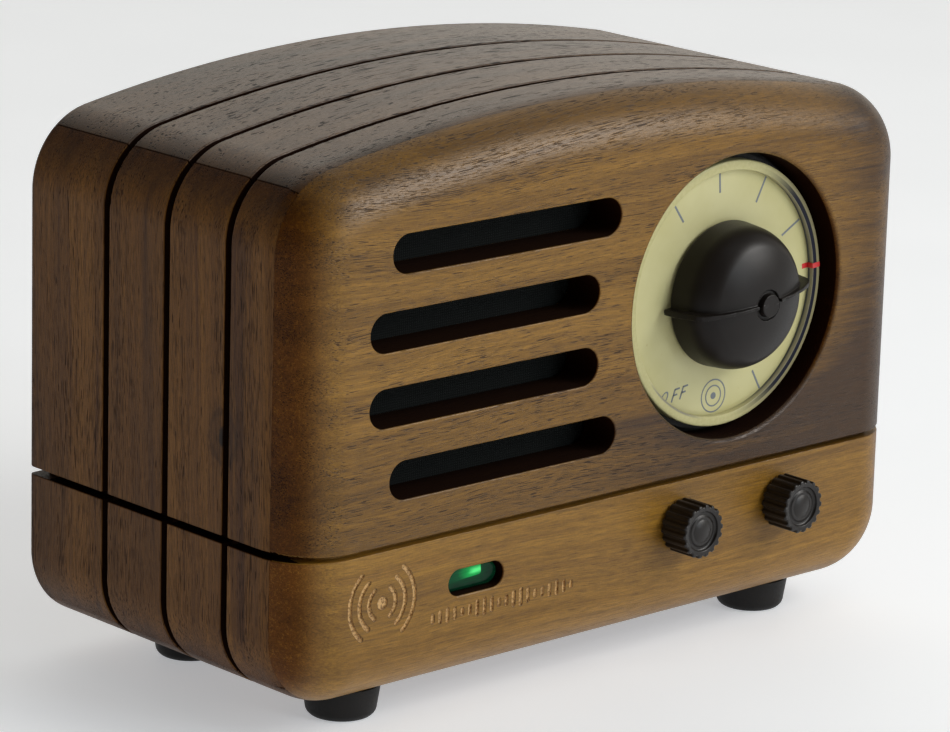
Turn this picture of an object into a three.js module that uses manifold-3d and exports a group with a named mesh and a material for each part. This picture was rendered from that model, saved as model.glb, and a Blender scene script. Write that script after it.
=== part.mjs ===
// Small table-top loudspeaker with a radio tuner, in a mitred walnut case.
// Millimetres, +Z up, front towards -Y, origin at the bottom centre of the
// whole object, on the surface it stands on.
import * as THREE from 'three';
import { mergeVertices } from 'three/addons/utils/BufferGeometryUtils.js';
import Module from 'manifold-3d';

// ---------------------------------------------------------------- dimensions
const FOOT_H = 4.6;              // feet lift the case off the table
const Z0 = FOOT_H;               // underside of the case
const Y0 = -25.35;               // plane of the front face
const W = 113.0;                 // case width
const H = 76.0;                  // case height at the crown of the arched top
const HS = 69.5;                 // height of the arch at the side planes
const D = 57.0;                  // case depth
const R_TOP = 11.0;              // upper corners
const R_BOT = 10.3;              // lower corners
const R_FRONT = 8.4;             // round-over of the front edge
const R_REAR = 1.0;              // round-over of the rear edge
const T_FRONT = 6.3;             // front board
const T_WALL = 9.0;              // mitred boards
const SEAM = 0.1;                // glue line between boards
const GROOVES_Y = [15.2, 27.63, 40.27]; // saw cuts round the case, behind the face
const GROOVE_W = 1.25;
const GROOVE_D = 2.0;
const BELT_Z = 21.62;            // level cut round front and sides
const BELT_H = 1.1;
const BELT_D_FRONT = 1.5;
const SLOTS = [[-21.5, 60.31], [-25.05, 50.3], [-24.95, 40.28], [-21.26, 30.22]];
const SLOT_A = 17.59;            // half distance between a slot's end centres
const SLOT_R = 2.62;
const DIAL = [21.75, 45.65];     // dial centre
const DIAL_HOLE_R = 19.95;
const DIAL_R = 18.7;
const DIAL_RING_IN = 17.3;
const KNOB_R = 10.3;             // tuning knob
const FIN_R = 11.7;              // blade across it, ending in two finger tabs
const FIN_TURN = 6;              // degrees the blade stands turned at rest
const SMALL = [[11.85, 15.06], [31.55, 15.06]]; // tone, volume
const SMALL_R = 3.85;
const LED = [-25.8, 14.4];
const LED_A = 3.05;              // half distance between the window's end centres
const LED_R = 1.8;
const FEET = [[-38.9, 11.7], [38.9, 11.7], [-38.9, 43.4], [38.9, 43.4]];
const FOOT_RT = 5.35, FOOT_RB = 4.8;
const SPK = [-23.5, 43.0];       // loudspeaker axis
const REBATE = 3.5;              // rim left round the rear panel
const Y_PANEL = [53.1, 56.6];    // rear panel, behind the face
const PANEL_SCREWS = [[-47.2, 14.5], [47.2, 14.5], [-46.6, 58.0], [46.6, 58.0]];
const BOARD_Y = [46.0, 47.6];    // main circuit board
const BATT = [-3.0, 33.6, 20.4]; // battery centre x, depth, height
const BATT_R = 9.1, BATT_L = 65;

// ------------------------------------------------------------------ booleans
const wasm = await Module();
wasm.setup();

function solid(geometry) {
  let g = geometry.index ? geometry.toNonIndexed() : geometry.clone();
  g.deleteAttribute('normal'); g.deleteAttribute('uv');
  g = mergeVertices(g, 1e-4);
  const p = g.attributes.position.array, idx = [];
  const src = g.index.array;
  for (let i = 0; i < src.length; i += 3) {
    const [a, b, c] = [src[i], src[i + 1], src[i + 2]];
    if (a !== b && b !== c && a !== c) idx.push(a, b, c);
  }
  const s = new wasm.Manifold(new wasm.Mesh({
    numProp: 3, vertProperties: Float32Array.from(p), triVerts: Uint32Array.from(idx),
  }));
  if (s.volume() < 0) throw new Error('inside out');
  return s;
}
function geometryOf(s) {
  const m = s.getMesh();
  const g = new THREE.BufferGeometry();
  const n = m.numProp, v = m.vertProperties, out = new Float32Array(v.length / n * 3);
  for (let i = 0; i < v.length / n; i++) {
    out[3 * i] = v[n * i]; out[3 * i + 1] = v[n * i + 1]; out[3 * i + 2] = v[n * i + 2];
  }
  g.setAttribute('position', new THREE.BufferAttribute(out, 3));
  g.setIndex(new THREE.BufferAttribute(Uint32Array.from(m.triVerts), 1));
  return mergeVertices(g, 1e-3);
}

// ------------------------------------------------------------------ profiles
// Outline of the case seen from the front, moved inwards by `inset`.
// x to the right, z up from the underside of the case.
function outline(inset, nc = 5, na = 16) {
  const w = W / 2, s = H - HS, R = (w * w + s * s) / (2 * s), zc = H - R;
  const xc = w - R_TOP, zk = zc + Math.sqrt((R - R_TOP) ** 2 - xc * xc);
  const a0 = Math.atan2(zk - zc, xc);
  const rt = R_TOP - inset, rb = R_BOT - inset, Ri = R - inset, p = [];
  const arc = (cx, cz, r, a, b, n, skip = 0) => {
    for (let i = skip; i <= n - skip; i++) {
      const t = a + (b - a) * i / n;
      p.push(new THREE.Vector2(cx + r * Math.cos(t), cz + r * Math.sin(t)));
    }
  };
  arc(w - R_BOT, R_BOT, rb, -Math.PI / 2, 0, nc);
  arc(xc, zk, rt, 0, a0, nc);
  arc(0, zc, Ri, a0, Math.PI - a0, na, 1);
  arc(-xc, zk, rt, Math.PI - a0, Math.PI, nc);
  arc(-w + R_BOT, R_BOT, rb, Math.PI, 1.5 * Math.PI, nc);
  return p;
}
const w2 = W / 2, sag = H - HS, RA = (w2 * w2 + sag * sag) / (2 * sag);
const CT = [w2 - R_TOP, H - RA + Math.sqrt((RA - R_TOP) ** 2 - (w2 - R_TOP) ** 2)];
const CB = [w2 - R_BOT, R_BOT];
const archZ = (x, inset) => H - RA + Math.sqrt((RA - inset) ** 2 - x * x);

// A flat shape in the x-z plane pulled back from depth ya to yb behind the
// front face. Depths grow to the rear.
function pull(points, ya, yb, holes = [], bevel = 0, seg = 3) {
  const s = points instanceof THREE.Shape ? points : new THREE.Shape(points);
  for (const h of holes) s.holes.push(new THREE.Path(h));
  const g = new THREE.ExtrudeGeometry(s, bevel
    ? { depth: yb - ya - 2 * bevel, bevelEnabled: true, bevelThickness: bevel, bevelSize: bevel, bevelOffset: -bevel, bevelSegments: seg, curveSegments: 10, steps: 1 }
    : { depth: yb - ya, bevelEnabled: false, curveSegments: 10, steps: 1 });
  if (bevel) g.translate(0, 0, bevel);
  // shape x, y, pull z  ->  x, z, -depth
  g.rotateX(Math.PI / 2);
  g.translate(0, Y0 + yb, Z0);
  return g;
}
const circle = (cx, cz, r, n = 24, ph = 0) => {
  const p = [];
  for (let i = 0; i < n; i++) {
    const a = ph + 2 * Math.PI * i / n;
    p.push(new THREE.Vector2(cx + r * Math.cos(a), cz + r * Math.sin(a)));
  }
  return p;
};
const capsule = (cx, cz, a, r, n = 6) => {
  const p = [];
  for (let i = 0; i <= n; i++) { const t = -Math.PI / 2 + Math.PI * i / n; p.push(new THREE.Vector2(cx + a + r * Math.cos(t), cz + r * Math.sin(t))); }
  for (let i = 0; i <= n; i++) { const t = Math.PI / 2 + Math.PI * i / n; p.push(new THREE.Vector2(cx - a + r * Math.cos(t), cz + r * Math.sin(t))); }
  return p;
};
const rect = (x0, z0, x1, z1) => [[x0, z0], [x1, z0], [x1, z1], [x0, z1]].map(([a, b]) => new THREE.Vector2(a, b));
// Turned piece on an axis along the depth, at (x, z): profile [radius, depth].
function turned(cx, cz, profile, n = 24) {
  // LatheGeometry turns about Y with its profile's y up; depth is +Y here
  let a = 0;
  const q = profile.concat(profile[0][0] > 0 ? [profile[0]] : []);
  for (let i = 0; i < q.length; i++) { const [x1, y1] = q[i], [x2, y2] = q[(i + 1) % q.length]; a += x1 * y2 - x2 * y1; }
  const pts = (a > 0 ? q : q.slice().reverse()).map(([r, d]) => new THREE.Vector2(r, d));
  const g = new THREE.LatheGeometry(pts, n);
  g.translate(cx, Y0, cz + Z0);
  return g;
}
// Turned piece on a vertical axis at (x, depth): profile [radius, height over the table].
function turnedUp(cx, d, profile, n = 16) {
  const g = turned(0, 0, profile, n);
  g.translate(0, -Y0, -Z0);
  g.rotateX(Math.PI / 2);
  g.translate(cx, Y0 + d, 0);
  return g;
}
const block = (x0, x1, d0, d1, z0, z1) => {
  const g = new THREE.BoxGeometry(x1 - x0, d1 - d0, z1 - z0);
  g.translate((x0 + x1) / 2, Y0 + (d0 + d1) / 2, Z0 + (z0 + z1) / 2);
  return g;
};
const S = (...a) => solid(pull(...a));

// ---------------------------------------------------------------- scene graph
const part = new THREE.Group();
function add(name, shape, color, roughness, metalness = 0, group = part) {
  const g = shape.isBufferGeometry ? shape : geometryOf(shape);
  const m = new THREE.Mesh(g, new THREE.MeshStandardMaterial({ color, roughness, metalness }));
  m.name = name;
  group.add(m);
  return m;
}
const WALNUT = 0x7a4c26, BAKELITE = 0x2a1c17, RUBBER = 0x141414, STEEL = 0xb8b8b4, BLACK = 0x181818;

// ------------------------------------------------------------------ the case
const far = 80;
const blank = S(outline(0), 0, D + 40, [], R_FRONT, 4).intersect(S(outline(0), -40, D, [], R_REAR, 1));
const core = S(outline(GROOVE_D), BELT_D_FRONT, D + 40, [], R_FRONT - GROOVE_D, 3); // what the level cut leaves
const belt = solid(block(-far, far, -5, D + 5, BELT_Z - BELT_H / 2, BELT_Z + BELT_H / 2)).subtract(core);
const ringCuts = GROOVES_Y.map((y) => S(rect(-far, -20, far, 110), y - GROOVE_W / 2, y + GROOVE_W / 2)
  .subtract(S(outline(GROOVE_D), y - GROOVE_W, y + GROOVE_W)));

let front = blank.intersect(solid(block(-far, far, -5, T_FRONT, -10, 100))).subtract(belt);
front = front.subtract(S(circle(DIAL[0], DIAL[1], DIAL_HOLE_R, 40), -5, 20));
for (const [x, z] of SLOTS) front = front.subtract(S(capsule(x, z, SLOT_A, SLOT_R), -5, 20));
for (const [x, z] of SMALL) front = front.subtract(S(circle(x, z, 2.6, 12), -5, 20));
front = front.subtract(S(capsule(LED[0], LED[1], LED_A, LED_R, 5), -5, 20));
add('front_board', front, WALNUT, 0.5);

let frame = blank.subtract(solid(block(-far, far, -10, T_FRONT + SEAM, -10, 100)))
  .subtract(S(outline(T_WALL, 4, 12), 0, D + 10))
  .subtract(S(outline(REBATE), Y_PANEL[0] - 0.1, D + 10))
  .subtract(belt);
for (const c of ringCuts) frame = frame.subtract(c);
for (const [x, z] of PANEL_SCREWS) frame = frame.subtract(S(circle(x, z, 1.1, 8), 44.5, 60));
for (const [x, d] of FEET) frame = frame.subtract(solid(turnedUp(x, d, [[0, -5], [1.4, -5], [1.4, Z0 + 7.2], [0, Z0 + 7.2]], 8)));
// mitre planes run through the corner arcs' centres
const dir = (deg, r) => [r * Math.cos(deg * Math.PI / 180), r * Math.sin(deg * Math.PI / 180)];
function sideMask(sign, grow) {
  const [ux, uz] = dir(50, 40), [bx, bz] = dir(-45, 40), g = grow;
  const nt = dir(140, g), nb = dir(-135, g);
  const p = [[CT[0] + nt[0], CT[1] + nt[1]], [CB[0] + nb[0], CB[1] + nb[1]],
    [CB[0] + bx + nb[0], CB[1] + bz + nb[1]], [140, CB[1] + bz], [140, CT[1] + uz], [CT[0] + ux + nt[0], CT[1] + uz + nt[1]]]
    .map(([x, z]) => new THREE.Vector2(sign * x, z));
  return THREE.ShapeUtils.isClockWise(p) ? p.reverse() : p;
}
for (const [s, name] of [[-1, 'left_side_board'], [1, 'right_side_board']]) {
  add(name, frame.intersect(S(sideMask(s, -SEAM / 2), -20, 90)), WALNUT, 0.55);
}
const middle = frame.subtract(S(sideMask(-1, SEAM / 2), -20, 90)).subtract(S(sideMask(1, SEAM / 2), -20, 90));
add('top_board', middle.intersect(solid(block(-far, far, -10, 90, 38, 120))), WALNUT, 0.55);
add('bottom_board', middle.intersect(solid(block(-far, far, -10, 90, -20, 38))), WALNUT, 0.55);

let panel = S(outline(REBATE + 0.15), Y_PANEL[0], Y_PANEL[1]);
for (const [x, z] of PANEL_SCREWS) {
  panel = panel.subtract(solid(turned(x, z, [[0, 50], [1.3, 50], [1.3, 54.9], [2.4, 56.1], [2.4, 60], [0, 60]], 10)));
}
const USB = [-12, 24], JACK = [12, 24];
panel = panel.subtract(S(rect(USB[0] - 4.6, USB[1] - 2.1, USB[0] + 4.6, USB[1] + 2.1), 50, 60));
panel = panel.subtract(S(circle(JACK[0], JACK[1], 3.3, 16), 50, 60));
add('rear_panel', panel, WALNUT, 0.6);
PANEL_SCREWS.forEach(([x, z], i) => add(`rear_panel_screw_${i + 1}`,
  turned(x, z, [[0, 46.0], [1.05, 46.8], [1.05, 54.75], [2.2, 56.0], [2.2, 56.35], [0, 56.35]], 8), STEEL, 0.35, 1));

// ------------------------------------------------------------------ the feet
FEET.forEach(([x, d], i) => {
  add(`foot_${i + 1}`, turnedUp(x, d, [[1.6, 2.3], [2.5, 2.3], [2.5, 0], [3.7, 0], [FOOT_RB, 0.8], [FOOT_RT, FOOT_H - 0.06], [1.6, FOOT_H - 0.06]], 16), RUBBER, 0.75);
  add(`foot_screw_${i + 1}`, turnedUp(x, d, [[0, 0.9], [1.7, 0.9], [2.2, 1.4], [2.2, 2.25], [1.3, 2.25], [1.3, 10.2], [0, 11.2]], 8), STEEL, 0.35, 1);
});

// -------------------------------------------------------- loudspeaker grille
const inner = (g, ya, yb) => S(outline(T_WALL + g, 4, 12), ya, yb);
add('grille_cloth', inner(0.4, 6.45, 7.05).intersect(S(rect(-60, 22.6, -0.8, 90), 6.45, 7.05)), BLACK, 0.95);
add('speaker_baffle', inner(0.4, 7.15, 9.65).intersect(S(rect(-60, 22.6, -0.8, 90), 7.15, 9.65))
  .subtract(S(circle(SPK[0], SPK[1], 17.4, 24), 0, 20))
  .subtract([[-17, -17], [17, -17], [-17, 17], [17, 17]].map(([dx, dz]) => S(circle(SPK[0] + dx, SPK[1] + dz, 0.9, 6), 7.9, 20)).reduce((a, b) => a.add(b))),
0x241a14, 0.9);

// ---------------------------------------------------------------- loudspeaker
const sq = new THREE.Shape();
{ // frame plate: a square with round corners
  const a = 20.4, r = 6, [x, z] = SPK;
  sq.moveTo(x - a + r, z - a); sq.lineTo(x + a - r, z - a); sq.absarc(x + a - r, z - a + r, r, -Math.PI / 2, 0);
  sq.lineTo(x + a, z + a - r); sq.absarc(x + a - r, z + a - r, r, 0, Math.PI / 2);
  sq.lineTo(x - a + r, z + a); sq.absarc(x - a + r, z + a - r, r, Math.PI / 2, Math.PI);
  sq.lineTo(x - a, z - a + r); sq.absarc(x - a + r, z - a + r, r, Math.PI, 1.5 * Math.PI);
}
let basket = S(new THREE.Shape(sq.extractPoints(3).shape.slice(0, -1)), 9.75, 10.65).subtract(S(circle(...SPK, 18.9, 16, Math.PI / 2), 0, 20))
  .add(solid(turned(...SPK, [[18.9, 9.75], [19.6, 9.75], [19.6, 11.0], [13.4, 17.0], [13.4, 18.6], [11.4, 18.6], [11.4, 17.9], [12.6, 17.9], [12.6, 16.6], [18.9, 10.7]], 16)));
for (const [dx, dz] of [[-17, -17], [17, -17], [-17, 17], [17, 17]]) basket = basket.subtract(S(circle(SPK[0] + dx, SPK[1] + dz, 1.2, 8), 5, 20));
for (const a of [0, 90, 180, 270]) {
  const [ux, uz] = dir(a, 16.6);
  basket = basket.subtract(solid(block(SPK[0] + ux - (ux ? 6 : 5), SPK[0] + ux + (ux ? 6 : 5), 12.0, 15.6, SPK[1] + uz - (uz ? 6 : 5), SPK[1] + uz + (uz ? 6 : 5))));
}
add('speaker_basket', basket, 0x3a3a3c, 0.5, 1);
add('speaker_surround', turned(...SPK, [[18.7, 9.9], [18.7, 10.5], [18.0, 10.5], [17.1, 11.6], [16.2, 11.6], [15.3, 11.0], [15.3, 10.5], [16.1, 10.9], [17.1, 10.9], [17.9, 9.9]], 16), BLACK, 0.8);
add('speaker_spider', turned(...SPK, [[12.4, 17.1], [12.4, 17.5], [11.0, 17.5], [10.2, 16.9], [9.2, 17.5], [8.2, 16.9], [7.0, 17.3], [7.0, 16.9], [8.2, 16.5], [9.2, 17.1], [10.2, 16.5], [11.0, 17.1]], 14), 0xa8742e, 0.8);
const mover = new THREE.Group();
part.add(mover);
add('speaker_cone', turned(...SPK, [[15.2, 11.05], [15.0, 11.6], [7.0, 15.4], [6.75, 15.4], [6.75, 14.9], [14.9, 11.05]], 16), 0x222222, 0.9, 0, mover);
add('speaker_dust_cap', turned(...SPK, [[0, 11.4], [3.0, 11.9], [5.4, 13.3], [6.6, 14.8], [5.9, 14.9], [4.9, 13.8], [2.8, 12.5], [0, 12.0]], 14), 0x1c1c1c, 0.85, 0, mover);
add('speaker_voice_coil', turned(...SPK, [[6.15, 15.2], [6.65, 15.2], [6.65, 21.2], [6.15, 21.2]], 16), 0xb8743a, 0.4, 1, mover);
add('speaker_top_plate', turned(...SPK, [[7.0, 18.7], [11.3, 18.7], [11.3, 20.4], [7.0, 20.4]], 16), STEEL, 0.4, 1);
add('speaker_magnet', turned(...SPK, [[7.6, 20.5], [12.6, 20.5], [12.6, 25.0], [7.6, 25.0]], 16), 0x2c2c2e, 0.6, 0);
add('speaker_yoke', turned(...SPK, [[0, 18.9], [5.7, 18.9], [5.7, 25.1], [11.6, 25.1], [11.6, 26.8], [0, 26.8]], 16), STEEL, 0.4, 1);
[[-17, -17], [17, -17], [-17, 17], [17, 17]].forEach(([dx, dz], i) => add(`speaker_screw_${i + 1}`,
  turned(SPK[0] + dx, SPK[1] + dz, [[0, 8.1], [0.8, 8.6], [0.8, 10.75], [1.8, 10.75], [1.8, 11.5], [0, 11.9]], 6), STEEL, 0.35, 1));

// ----------------------------------------------------------------- the dial
const seatHole = 3.7;
add('dial_seat', S(circle(...DIAL, 22.0, 32), 6.45, 7.9).intersect(inner(0.4, 6.45, 7.9)).add(S(circle(...DIAL, 19.4, 40), 4.5, 7.0))
  .subtract(S(circle(...DIAL, seatHole, 16), 0, 20)), BLACK, 0.7);
add('dial_plate', S(circle(...DIAL, DIAL_R, 48), 3.4, 4.4, [circle(...DIAL, seatHole, 16)]), 0xd9cf9e, 0.5);
add('dial_ring', turned(...DIAL, [[DIAL_RING_IN, 2.6], [DIAL_RING_IN + 0.2, 2.4], [DIAL_R - 0.2, 2.4], [DIAL_R, 2.6], [DIAL_R, 3.35], [DIAL_RING_IN, 3.35]], 36), 0xe4dcb4, 0.3);

// tuning control: knob and shaft turn, body and nut stay
add('tuning_control', turned(...DIAL, [[0, 9.4], [3.12, 9.4], [3.12, 1.2], [3.5, 1.2], [3.5, 8.0], [8.5, 8.0], [8.5, 16.0], [0, 16.0]], 20), 0x8a8a86, 0.45, 1);
add('tuning_nut', S(circle(...DIAL, 5.2, 6), 1.5, 3.3, [circle(...DIAL, 3.6, 16)]), STEEL, 0.35, 1);
const tuning = new THREE.Group();
part.add(tuning);
add('tuning_shaft', turned(...DIAL, [[0, -2.2], [3.0, -2.2], [3.0, 9.2], [0, 9.2]], 20), STEEL, 0.35, 1, tuning);
let knob = solid(turned(...DIAL, [[0, -6.0], [1.0, -6.0], [1.9, -6.1], [3.4, -5.8], [5.6, -5.25], [7.6, -4.4], [9.0, -3.7], [9.8, -2.9], [KNOB_R, 3.1], [7.3, 3.1], [7.3, 0.4], [3.05, 0.4], [3.05, -2.4], [0, -2.4]], 32));
const ca = Math.cos(FIN_TURN * Math.PI / 180), sa = Math.sin(FIN_TURN * Math.PI / 180);
const blade = [[-14, -0.15], [14, -0.15], [14, 0.65], [-14, 0.65]].map(([a, b]) => new THREE.Vector2(DIAL[0] + a * ca - b * sa, DIAL[1] + a * sa + b * ca));
knob = knob.add(S(circle(...DIAL, 1.6, 16), -6.3, -5.0))
  .add(solid(turned(...DIAL, [[0, -6.2], [3.0, -6.05], [6.0, -5.5], [8.3, -4.75], [10.0, -3.9], [10.8, -3.0], [FIN_R, 2.9], [9.5, 2.9], [9.5, -2.0], [0, -4]], 32)).intersect(S(blade, -9, 9)));
add('tuning_knob', knob, BAKELITE, 0.4, 0, tuning);

// ----------------------------------------------------- tone and volume knobs
for (const [[x, z], name] of [[SMALL[0], 'tone'], [SMALL[1], 'volume']]) {
  add(`${name}_control`, solid(block(x - 4.8, x + 4.8, 7.0, 13.85, z - 5.2, z + 5.2)).add(S(circle(x, z, 2.35, 12), 0.9, 8))
    .subtract(S(circle(x, z, 1.6, 12), -5, 8.2)), 0x6f7f78, 0.5, 1);
  const g = new THREE.Group();
  part.add(g);
  add(`${name}_shaft`, turned(x, z, [[0, -3.0], [1.5, -3.0], [1.5, 8.0], [0, 8.0]], 12), STEEL, 0.35, 1, g);
  const teeth = [];
  const N = 18;
  for (let i = 0; i < N; i++) {
    for (const [da, r] of [[-0.28, SMALL_R - 0.42], [-0.14, SMALL_R], [0.14, SMALL_R], [0.28, SMALL_R - 0.42]]) {
      const a = 2 * Math.PI * (i + da) / N;
      teeth.push(new THREE.Vector2(x + r * Math.cos(a), z + r * Math.sin(a)));
    }
  }
  let k = S(teeth, -4.2, -0.3).intersect(solid(turned(x, z, [[0, -4.2], [SMALL_R - 0.5, -4.2], [SMALL_R + 0.1, -3.7], [SMALL_R + 0.1, -0.3], [0, -0.3]], 36)));
  k = k.subtract(solid(turned(x, z, [[1.9, -6], [3.0, -6], [3.0, -3.8], [1.9, -3.8]], 18)))
    .add(solid(turned(x, z, [[0, -5.0], [0.9, -4.9], [1.7, -4.4], [1.95, -3.5], [0, -3.5]], 18)))
    .subtract(S(circle(x, z, 1.55, 12), -3.1, 2));
  add(`${name}_knob`, k, BAKELITE, 0.4, 0, g);
}

// ------------------------------------------------------------------ pilot light
add('led_lens', S(capsule(LED[0], LED[1], LED_A, LED_R - 0.15, 5), 1.2, 7.0).add(S(capsule(LED[0], LED[1], LED_A + 0.6, LED_R + 1.2, 5), 6.45, 7.6)), 0x0d5a28, 0.25);
add('led_lamp', turned(...LED, [[0, 8.4], [1.0, 8.7], [1.5, 9.6], [1.5, 12.6], [1.8, 12.6], [1.8, 13.7], [0, 13.7]], 12), 0x9fdc9f, 0.3);

// ----------------------------------------------------------- electronics
add('control_board', block(-34, 40, 14.0, 15.2, 9.6, 21.6), 0x1d5a34, 0.5);
add('main_board', S(rect(-38, 18, 38, 56), ...BOARD_Y, [circle(-33.5, 51.5, 1.7, 10), circle(33.5, 51.5, 1.7, 10)]), 0x1d5a34, 0.5);
add('radio_module', block(4, 20, 43.2, 45.9, 36, 52), 0xb8b8b0, 0.35, 1);
for (const [x, name] of [[-33.5, 'left'], [33.5, 'right']]) {
  add(`board_standoff_${name}`, turned(x, 51.5, [[0, 44.6], [1.0, 44.6], [1.9, 45.6], [1.9, 45.95], [1.4, 45.95], [1.4, 47.65], [2.8, 47.65], [2.8, 53.05], [0, 53.05]], 10), 0xe6e2d6, 0.5);
}
add('usb_socket', S(rect(USB[0] - 3.9, USB[1] - 1.5, USB[0] + 3.9, USB[1] + 1.5), 47.65, 56.0).subtract(S(rect(USB[0] - 3.4, USB[1] - 1.05, USB[0] + 3.4, USB[1] + 1.05), 50.5, 60)), STEEL, 0.3, 1);
add('audio_jack', S(rect(JACK[0] - 4, JACK[1] - 4, JACK[0] + 4, JACK[1] + 4), 47.65, 53.0).add(S(circle(...JACK, 3.0, 16), 52, 56.2)).subtract(S(circle(...JACK, 1.8, 14), 49, 60)), BLACK, 0.45);

// battery, lying across the case in a moulded cradle
{
  const g = new THREE.LatheGeometry([[0, -BATT_L / 2], [BATT_R, -BATT_L / 2], [BATT_R, BATT_L / 2], [3.2, BATT_L / 2], [3.2, BATT_L / 2 + 1.4], [0, BATT_L / 2 + 1.4]].map((p) => new THREE.Vector2(...p)), 20);
  g.rotateZ(-Math.PI / 2);
  g.translate(BATT[0], Y0 + BATT[1], Z0 + BATT[2]);
  add('battery_cell', g, 0x2a5f9e, 0.45);
  const c = new THREE.LatheGeometry([[0, -60], [BATT_R + 0.3, -60], [BATT_R + 0.3, 60], [0, 60]].map((p) => new THREE.Vector2(...p)), 20);
  c.rotateZ(-Math.PI / 2);
  c.translate(BATT[0], Y0 + BATT[1], Z0 + BATT[2]);
  add('battery_cradle', solid(block(BATT[0] - 28, BATT[0] + 28, BATT[1] - 10.6, BATT[1] + 10.6, T_WALL + 0.1, 19.0)).subtract(solid(c)), BLACK, 0.6);
}

// internal leads, from end to end
function lead(name, pts, r, color, n = 12) {
  const v = pts.map(([x, d, z]) => new THREE.Vector3(x, Y0 + d, Z0 + z));
  const curve = new THREE.CatmullRomCurve3(v, false, 'centripetal');
  const s = new THREE.Shape(circle(0, 0, r, 8));
  add(name, new THREE.ExtrudeGeometry(s, { steps: n, extrudePath: curve, bevelEnabled: false, curveSegments: 1 }), color, 0.6);
}
lead('speaker_lead', [[-40.2, 14, 43], [-43.2, 18, 43.5], [-44, 26, 44], [-42, 36, 43], [-37, 41, 41], [-34, 43.6, 40], [-34, 45.6, 40]], 0.7, 0xb02020, 16);
lead('battery_lead', [[31.3, 33.6, 20.4], [34, 33.7, 20.6], [38, 36, 24], [37, 40.5, 29], [33, 43.4, 31.5], [33, 45.6, 31.5]], 0.7, 0x1a1a1a, 16);
lead('aerial_lead', [[30, 45.6, 47], [30, 43.5, 47], [32, 40, 53], [28, 36, 60], [14, 32, 63], [-4, 31, 64], [-24, 30.5, 62.8]], 0.6, 0x202020, 24);

export default part;
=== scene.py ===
import math
import bmesh
import bpy
import numpy as np
from mathutils import Matrix, Vector


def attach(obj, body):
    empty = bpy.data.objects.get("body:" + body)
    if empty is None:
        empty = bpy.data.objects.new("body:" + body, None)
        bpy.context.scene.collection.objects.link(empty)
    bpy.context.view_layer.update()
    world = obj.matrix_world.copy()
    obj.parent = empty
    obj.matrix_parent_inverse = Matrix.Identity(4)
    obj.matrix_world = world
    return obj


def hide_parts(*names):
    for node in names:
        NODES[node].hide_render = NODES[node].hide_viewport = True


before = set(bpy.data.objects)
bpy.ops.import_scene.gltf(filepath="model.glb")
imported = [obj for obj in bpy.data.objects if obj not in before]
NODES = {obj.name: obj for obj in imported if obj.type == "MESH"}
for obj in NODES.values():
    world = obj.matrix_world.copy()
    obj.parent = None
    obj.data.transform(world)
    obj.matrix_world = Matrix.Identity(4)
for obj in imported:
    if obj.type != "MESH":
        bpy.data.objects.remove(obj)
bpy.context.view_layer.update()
SCENE = bpy.context.scene

# ------------------------------------------------------------------ measures
# Design coordinates in mm: u to the right, d behind the front face, h above
# the underside of the case. The row frame is (u, d + Y0, h + Z0) / 1000.
Y0, Z0 = -25.35, 4.6
W, H, HS, D = 113.0, 76.0, 69.5, 57.0
RT, RB, RF, RR = 11.0, 10.3, 8.4, 1.0
T_FRONT, T_WALL = 6.3, 9.0
RINGS = (15.2, 27.63, 40.27)
BELT = 21.69
SLOTS = ((-21.5, 60.31), (-25.05, 50.3), (-24.95, 40.28), (-21.26, 30.22))
DX, DH = 21.75, 45.65
SMALL = ((11.85, 15.06), (31.55, 15.06))
LEDX, LEDH = -25.8, 14.4
FEET = ((-38.9, 11.7), (38.9, 11.7), (-38.9, 43.4), (38.9, 43.4))
PSCREWS = ((-47.2, 14.5), (47.2, 14.5), (-46.6, 58.0), (46.6, 58.0))
USB, JACK = (-12, 24), (12, 24)


# ------------------------------------------------------------ distance fields
def rmax(a, b, r):
    """a and b, with the outer edge between them rounded to radius r."""
    return np.minimum(-r, np.maximum(a, b)) + np.hypot(np.maximum(r + a, 0), np.maximum(r + b, 0))


def smin(a, b, k):
    """a or b, with the inner corner between them filled by about k."""
    t = np.clip(0.5 + 0.5 * (b - a) / k, 0, 1)
    return b * (1 - t) + a * t - k * t * (1 - t)


_w = W / 2
_s = H - HS
RA = (_w * _w + _s * _s) / (2 * _s)
ZC = H - RA
XK = _w - RT
ZK = ZC + math.sqrt((RA - RT) ** 2 - XK * XK)


def outline(u, h):
    """Distance to the case's outline seen from the front, negative inside."""
    u = np.abs(u)
    d = np.maximum(np.maximum(u - _w, -h), np.hypot(u, h - ZC) - RA)
    m = (u > _w - RB) & (h < RB)
    d = np.where(m, np.hypot(u - (_w - RB), h - RB) - RB, d)
    m = (h > ZK) & (XK * (h - ZK) - (ZK - ZC) * (u - XK) <= 0)
    return np.where(m, np.hypot(u - XK, h - ZK) - RT, d)


def blank(u, d, h):
    """The case before any cut."""
    return rmax(rmax(outline(u, h), -d, RF), d - D, RR)


def stadium(u, h, cu, ch, a, r):
    return np.hypot(np.maximum(np.abs(u - cu) - a, 0), h - ch) - r


def cuts(u, d, h, body):
    """The level saw cut: fine across the front, wider along the sides."""
    t = np.clip((d - 0.5) / 6.5, 0, 1)
    t = t * t * (3 - 2 * t)
    mid, half = 21.53 + 0.10 * t, 0.37 + 0.14 * t
    return np.maximum(np.abs(h - mid) - half, -(body + 1.5 + 0.5 * t))


def rings(u, d, h, body):
    c = None
    for y in RINGS:
        q = np.maximum(np.abs(d - y) - 0.64, -(outline(u, h) + 2.0))
        c = q if c is None else np.minimum(c, q)
    return c


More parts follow.
